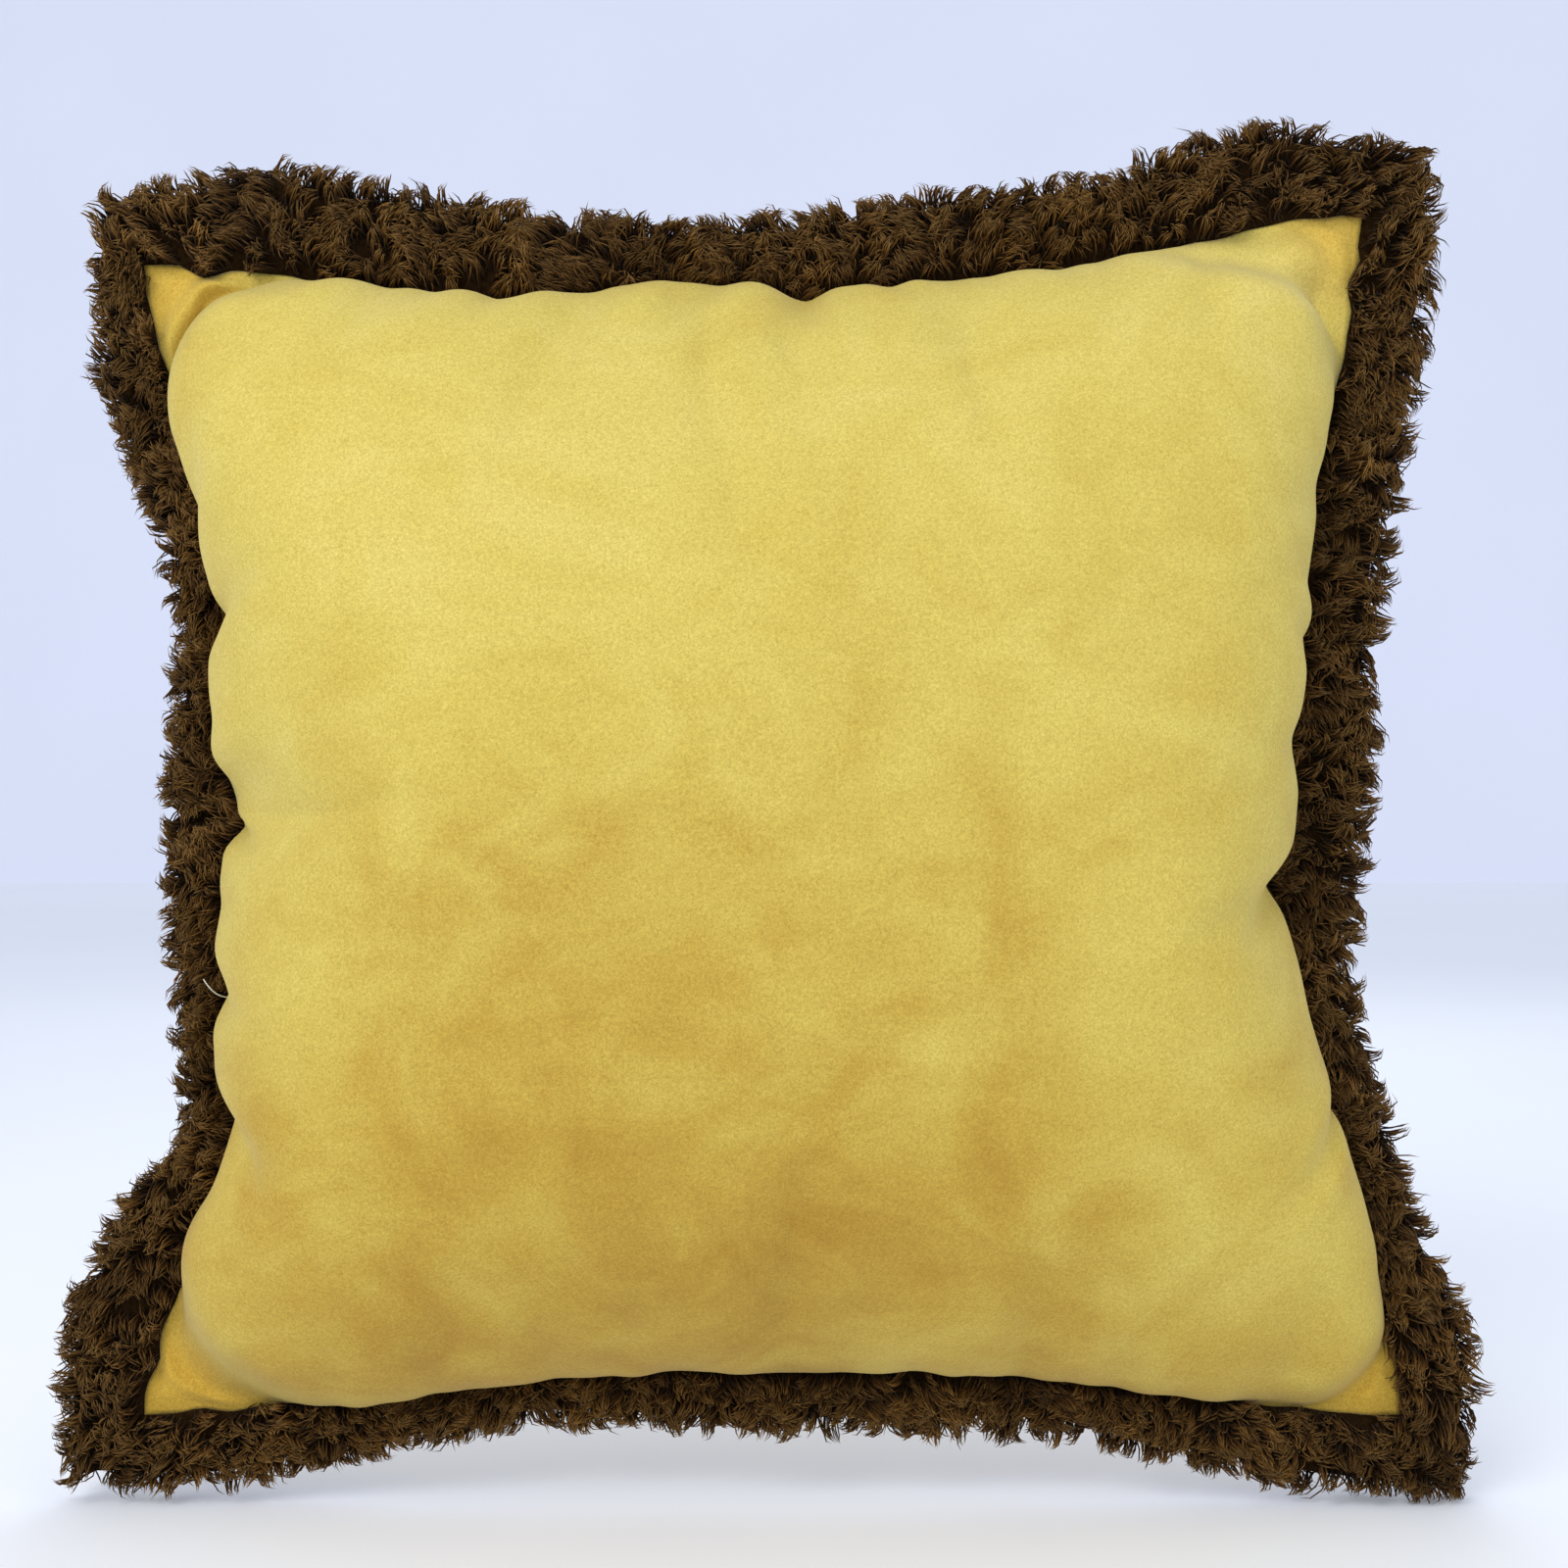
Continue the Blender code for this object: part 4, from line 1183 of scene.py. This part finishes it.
def strands_of(side, facing, count, random):
    """Centre lines of every strand at its levels from root to tip, with each strand's tone."""
    locks = lay_locks(side, facing, count, random)
    lock = {key: np.repeat(value, STRANDS_A_LOCK, axis=0) for key, value in locks.items()}
    total = len(lock["share"])
    share = np.abs(lock["share"] + random.normal(0, LOCK_SPREAD / side_length(side), total))
    share = 1 - np.abs(1 - share)
    fold = np.abs(lock["fold"]) + random.normal(0, LOCK_SPREAD / 0.02, total)
    fold = np.clip(fold, 0, 0.985) * facing
    root, _, _ = fold_surface(side, share, fold)
    reach = random.uniform(*STRAND_LENGTHS, (total, 1))
    frizz = random.normal(0, FRIZZ, (total, 3))
    strays = random.uniform(0, 1, (total, 1)) < STRAY_SHARE
    stray = np.where(strays, random.normal(0, STRAY, (total, 3)), 0)
    lines = []
    for place in LEVELS:
        gathered = GATHERED * place**0.8
        line = lock_line(lock, place * reach) + (root - lock["root"]) * (1 - gathered)
        lines.append(line + frizz * sin(pi * place * 0.9) + stray * place)
    lines = np.stack(lines, 1)
    lines[..., 2] = np.maximum(lines[..., 2], 0.0006)
    tone = np.clip(lock["tone"][:, 0] + random.normal(0, STRAND_TONE_SPREAD, total), 0.02, 0.98)
    return lines, tone


def strand_mesh(name, lines, tone, material):
    """Copy the strand pattern along every centre line, with each strand's own map."""
    places, faces = strand_pattern()
    count = len(lines)
    level = np.array([int(np.argmin([abs(z - step) for step in LEVELS])) for z in places[:, 2]])
    angle = np.arctan2(places[:, 1], places[:, 0])
    ring = np.where(np.linalg.norm(places[:, :2], axis=1) > 1e-6, 1.0, 0.0)
    width = np.array(STRAND_WIDTHS)[level]
    heading = normalised(lines[:, -1] - lines[:, 0])
    side = normalised(np.cross(heading, np.array([0.31, 0.52, 0.79])))
    up = np.cross(side, heading)
    aside = (np.cos(angle) * ring * width)[None, :, None] * side[:, None]
    upward = (np.sin(angle) * ring * width)[None, :, None] * up[:, None]
    points = lines[:, level] + (aside + upward)
    points[..., 2] = np.maximum(points[..., 2], 0.0002)

    corner = np.concatenate([np.array(face) for face in faces])
    corners = (corner[None] + (np.arange(count) * len(places))[:, None]).ravel()
    totals = np.tile([len(face) for face in faces], count)
    starts = np.concatenate([[0], np.cumsum(totals)[:-1]])
    mesh = bpy.data.meshes.new(name)
    mesh.vertices.add(points.shape[0] * points.shape[1])
    mesh.vertices.foreach_set("co", points.astype(np.float32).ravel())
    mesh.loops.add(len(corners))
    mesh.loops.foreach_set("vertex_index", corners.astype(np.int32))
    mesh.polygons.add(len(totals))
    mesh.polygons.foreach_set("loop_start", starts.astype(np.int32))
    mesh.update(calc_edges=True)
    layer = mesh.uv_layers.new(name="OFBake")
    map_x = tone[:, None] + 0.004 * np.cos(angle * 0.5)[None, corner]
    map_y = np.clip(places[corner, 2], 0.002, 0.998)[None] + 0.001 * np.sin(angle)[None, corner]
    maps = np.stack([map_x, np.broadcast_to(map_y, map_x.shape)], -1)
    layer.data.foreach_set("uv", maps.astype(np.float32).ravel())
    mesh.shade_smooth()
    mesh.materials.append(material)
    return link(bpy.data.objects.new(name, mesh))


def add_pile(material):
    made = []
    random = np.random.default_rng(20)
    for side in SIDES:
        for facing, word in ((-1, "front"), (1, "back")):
            lines, tone = strands_of(side, facing, LOCKS[word], random)
            made.append(strand_mesh(f"pile_{side}_{word}", lines, tone, material))
    return made


# ---- the zip


HALVES = (("upper", 1), ("lower", -1))
COIL_END = 0.1425
COIL_PITCH = 0.00125
COIL_WIRE = 0.00030
COIL_RADIUS = 0.00109
COIL_PLACE = 0.00105
COIL_DEPTH = -0.0009
STITCH_END = 0.1480
STITCH_PITCH = 0.0034
STITCH_LINE = 0.0080
TACK_PLACE = 0.1500
TACK_LOW = -0.0066
TACK_PITCH = 0.00066


def zip_place(angle, up, out):
    """A point by its angle along the zip, and its distances up the slope and outwards."""
    radius = ZIP_RADIUS + sin(ZIP_SLOPE) * up + cos(ZIP_SLOPE) * out
    height = ZIP_HEIGHT + cos(ZIP_SLOPE) * up - sin(ZIP_SLOPE) * out
    return Vector((radius * sin(angle), ZIP_AXIS_Y + radius * cos(angle), height))


def zip_frame(angle):
    """The matrix that lays X along the zip, Y up the slope and Z outwards."""
    origin = zip_place(angle, 0, 0)
    along = Vector((cos(angle), -sin(angle), 0))
    up = (zip_place(angle, 1, 0) - origin).normalized()
    out = (zip_place(angle, 0, 1) - origin).normalized()
    return Matrix.Translation(origin) @ Matrix((along, up, out)).transposed().to_4x4()


def repeat_on_zip(name, shape, places, material):
    """Copies of one small shape along the zip. Each place is (x along, up, out)."""
    pattern = bpy.data.meshes.new(f"{name}_pattern")
    bmesh.ops.recalc_face_normals(shape, faces=shape.faces)
    shape.to_mesh(pattern)
    shape.free()
    row = bmesh.new()
    for x, up, out in places:
        before = len(row.verts)
        row.from_mesh(pattern)
        row.verts.ensure_lookup_table()
        place = zip_frame(asin(x / ZIP_RADIUS)) @ Matrix.Translation((0, up, out))
        bmesh.ops.transform(row, matrix=place, verts=row.verts[before:])
    bpy.data.meshes.remove(pattern)
    return make_object(row, name, material)


def coil_turn(side):
    """One turn of a zip coil: a wire loop that hooks towards the other side."""
    turn = bmesh.new()
    wire = bmesh.ops.create_circle(turn, cap_ends=False, segments=6, radius=COIL_WIRE)["verts"]
    bmesh.ops.translate(turn, verts=wire, vec=(0, COIL_RADIUS * side, 0))
    ring = wire + list(turn.edges)
    bmesh.ops.spin(turn, geom=ring, cent=(0, 0, 0), axis=(1, 0, 0), angle=2 * pi, steps=10, use_merge=True)
    bmesh.ops.remove_doubles(turn, verts=turn.verts, dist=0.00002)
    bmesh.ops.scale(turn, verts=turn.verts, vec=(1, 1.15, 0.80))
    return turn


def add_coils(material):
    """Both coils, half a turn apart."""
    steps = range(int(2 * COIL_END / COIL_PITCH))
    made = []
    for part, side in HALVES:
        start = COIL_PITCH * 0.5 * (side > 0) - COIL_END
        places = [(start + COIL_PITCH * k, side * COIL_PLACE, COIL_DEPTH) for k in steps]
        made.append(repeat_on_zip(f"coil_turns_{part}", coil_turn(side), places, material))
    return made


def stitch(length, width):
    """One machine stitch: a short rounded thread that dips into the cloth at both ends."""
    made = bmesh.new()
    bmesh.ops.create_uvsphere(made, u_segments=8, v_segments=6, radius=1)
    bmesh.ops.rotate(made, verts=made.verts, cent=(0, 0, 0), matrix=Matrix.Rotation(pi / 2, 3, "Y"))
    bmesh.ops.scale(made, verts=made.verts, vec=(length / 2, width / 2, width / 2))
    return made


def add_topstitching(material):
    """A row of machine stitches along each hem."""
    steps = range(int(2 * STITCH_END / STITCH_PITCH))
    made = []
    for part, side in HALVES:
        places = [(STITCH_PITCH * (k + 0.5) - STITCH_END, side * STITCH_LINE, 0.00012) for k in steps]
        made.append(repeat_on_zip(f"stitches_{part}", stitch(0.0028, 0.0007), places, material))
    return made


def add_bar_tacks(material):
    """Dense side-by-side stitches across each end of the zip."""
    made = []
    for word, middle in (("right", TACK_PLACE), ("left", -TACK_PLACE)):
        places = [(middle, TACK_LOW + TACK_PITCH * k, 0.0007) for k in range(21)]
        made.append(repeat_on_zip(f"tack_{word}", stitch(0.0024, 0.0008), places, material))
    return made


def add_label(back, material):
    """A blank folded ribbon sewn under the zip's lower hem, lying on the lower back panel."""
    low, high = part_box("care_label")
    surface = BVHTree.FromObject(back, bpy.context.evaluated_depsgraph_get())
    ribbon = bmesh.new()
    bmesh.ops.create_grid(ribbon, x_segments=10, y_segments=16, size=0.5)
    for vertex in ribbon.verts:
        across, upward = vertex.co.x + 0.5, vertex.co.y + 0.5
        x, z = mix(low.x, high.x, across), mix(low.z, high.z, upward)
        hit, _, _, _ = surface.ray_cast(Vector((x, 0.3, z)), Vector((0, -1, 0)))
        lift = 0.0008 + 0.0032 * (1 - upward) ** 2 + 0.0007 * sin(3 * across + 2.0 * upward)
        vertex.co = Vector((x, (hit.y if hit else low.y) + max(lift, 0.0006), z))
    bmesh.ops.recalc_face_normals(ribbon, faces=ribbon.faces)
    face_towards(ribbon, 1)
    made = make_object(ribbon, "blank_label", material)
    thick = made.modifiers.new("two_layers", "SOLIDIFY")
    thick.thickness = 0.0005
    thick.offset = 1
    return made


def thread_piece(name, points, radius, closed, material):
    """A thread along a line of points, as a mesh."""
    curve = bpy.data.curves.new(name, "CURVE")
    curve.dimensions = "3D"
    curve.bevel_depth = radius
    curve.bevel_resolution = 1
    curve.use_fill_caps = not closed
    spline = curve.splines.new("POLY")
    spline.points.add(len(points) - 1)
    for control, point in zip(spline.points, points):
        control.co = (*point, 1)
    spline.use_cyclic_u = closed
    drawn = link(bpy.data.objects.new("drawn_thread", curve))
    mesh = bpy.data.meshes.new_from_object(drawn)
    bpy.data.objects.remove(drawn)
    mesh.name = name
    mesh.shade_smooth()
    mesh.materials.clear()
    mesh.materials.append(material)
    return link(bpy.data.objects.new(name, mesh))


def closing_seam(material):
    """The thread of the seam that joins the front, the flange and the back, drawn in at every tuck."""
    steps = np.linspace(0.002, 0.998, 150)
    line = []
    for side, way in (("bottom", 1), ("right", 1), ("top", -1), ("left", -1)):
        line.extend((x, 0.0, z) for x, z in sewn_place(side, steps[::way]))
    return thread_piece("seam_thread", line, 0.0004, True, material)


def loose_end(material):
    """A short end of thread that was left uncut where the left seam was finished off."""
    x, z = seam_place("left", 0.368)
    steps = np.linspace(0, 1, 14)
    line = stacked(
        x + 0.002 - 0.0085 * steps,
        -0.006 - 0.007 * np.sin(1.6 * steps),
        z - 0.001 + 0.0065 * steps**1.6 - 0.001 * np.sin(pi * steps),
    )
    return thread_piece("loose_thread_end", line, 0.00022, False, material)


def paint_node(name, material):
    """Give a CAD node that stays a better material."""
    node = frame["nodes"][name]
    node.data.materials.clear()
    node.data.materials.append(material)


# ---- everything together


def settle(piece, slot, *nodes):
    """A finished piece rides on the cover and stands for its CAD nodes, which are hidden. Its slot is not
    used.
    """
    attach(piece, "cover")
    if nodes:
        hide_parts(*nodes)
    return piece


def main():
    add_camera()
    add_lights()
    add_stage()

    suede = mustard_suede()
    cotton = woven("white_cotton", (0.62, 0.61, 0.57), (0.86, 0.85, 0.81), 1800, 0.0002)
    tape = woven("zip_tape_weave", (0.36, 0.24, 0.05), (0.60, 0.44, 0.12), 2200, 0.0002)
    thread = mottled("yellow_thread")
    metal = zip_metal()

    front = settle(front_cloth(suede), "suede", "front_panel")
    lower = settle(back_cloth("lower", suede), "suede", "back_panel_lower")
    upper = settle(back_cloth("upper", suede), "suede", "back_panel_upper")

    ground = mottled("shaded_pile_ground")
    for side in SIDES:
        settle(folded_strip(side, ground), "pile", f"fur_trim_{side}")
    for piece in add_pile(pile_strands()):
        settle(piece, "pile")

    for pieces, slot, nodes in (
        (add_coils(mottled("zip_nylon")), "zip_coil", ("zip_coil_upper", "zip_coil_lower")),
        (add_topstitching(thread), "thread", ("topstitch_upper", "topstitch_lower")),
        (add_bar_tacks(thread), "thread", ("bar_tack_right", "bar_tack_left")),
    ):
        for piece, node in zip(pieces, nodes):
            settle(piece, slot, node)
    settle(add_label(lower, mottled("white_satin")), "satin", "care_label")

    for name in ("zip_tape_upper", "zip_tape_lower"):
        paint_node(name, tape)
    for name in ("zip_slider", "zip_pull", "zip_stop_closed_end", "zip_stop_open_end"):
        paint_node(name, metal)
    settle(closing_seam(thread), "thread", "closing_seam_thread")
    settle(loose_end(mottled("pale_thread")), "thread")
    casing = insert_shell("insert_casing", 0.955, cotton)
    fibres = insert_shell("stuffing", 0.930, mottled("polyester_fibre"))
    settle(casing, "cotton", "insert_casing_front", "insert_casing_back")
    settle(fibres, "fibre", "fibre_filling")


main()
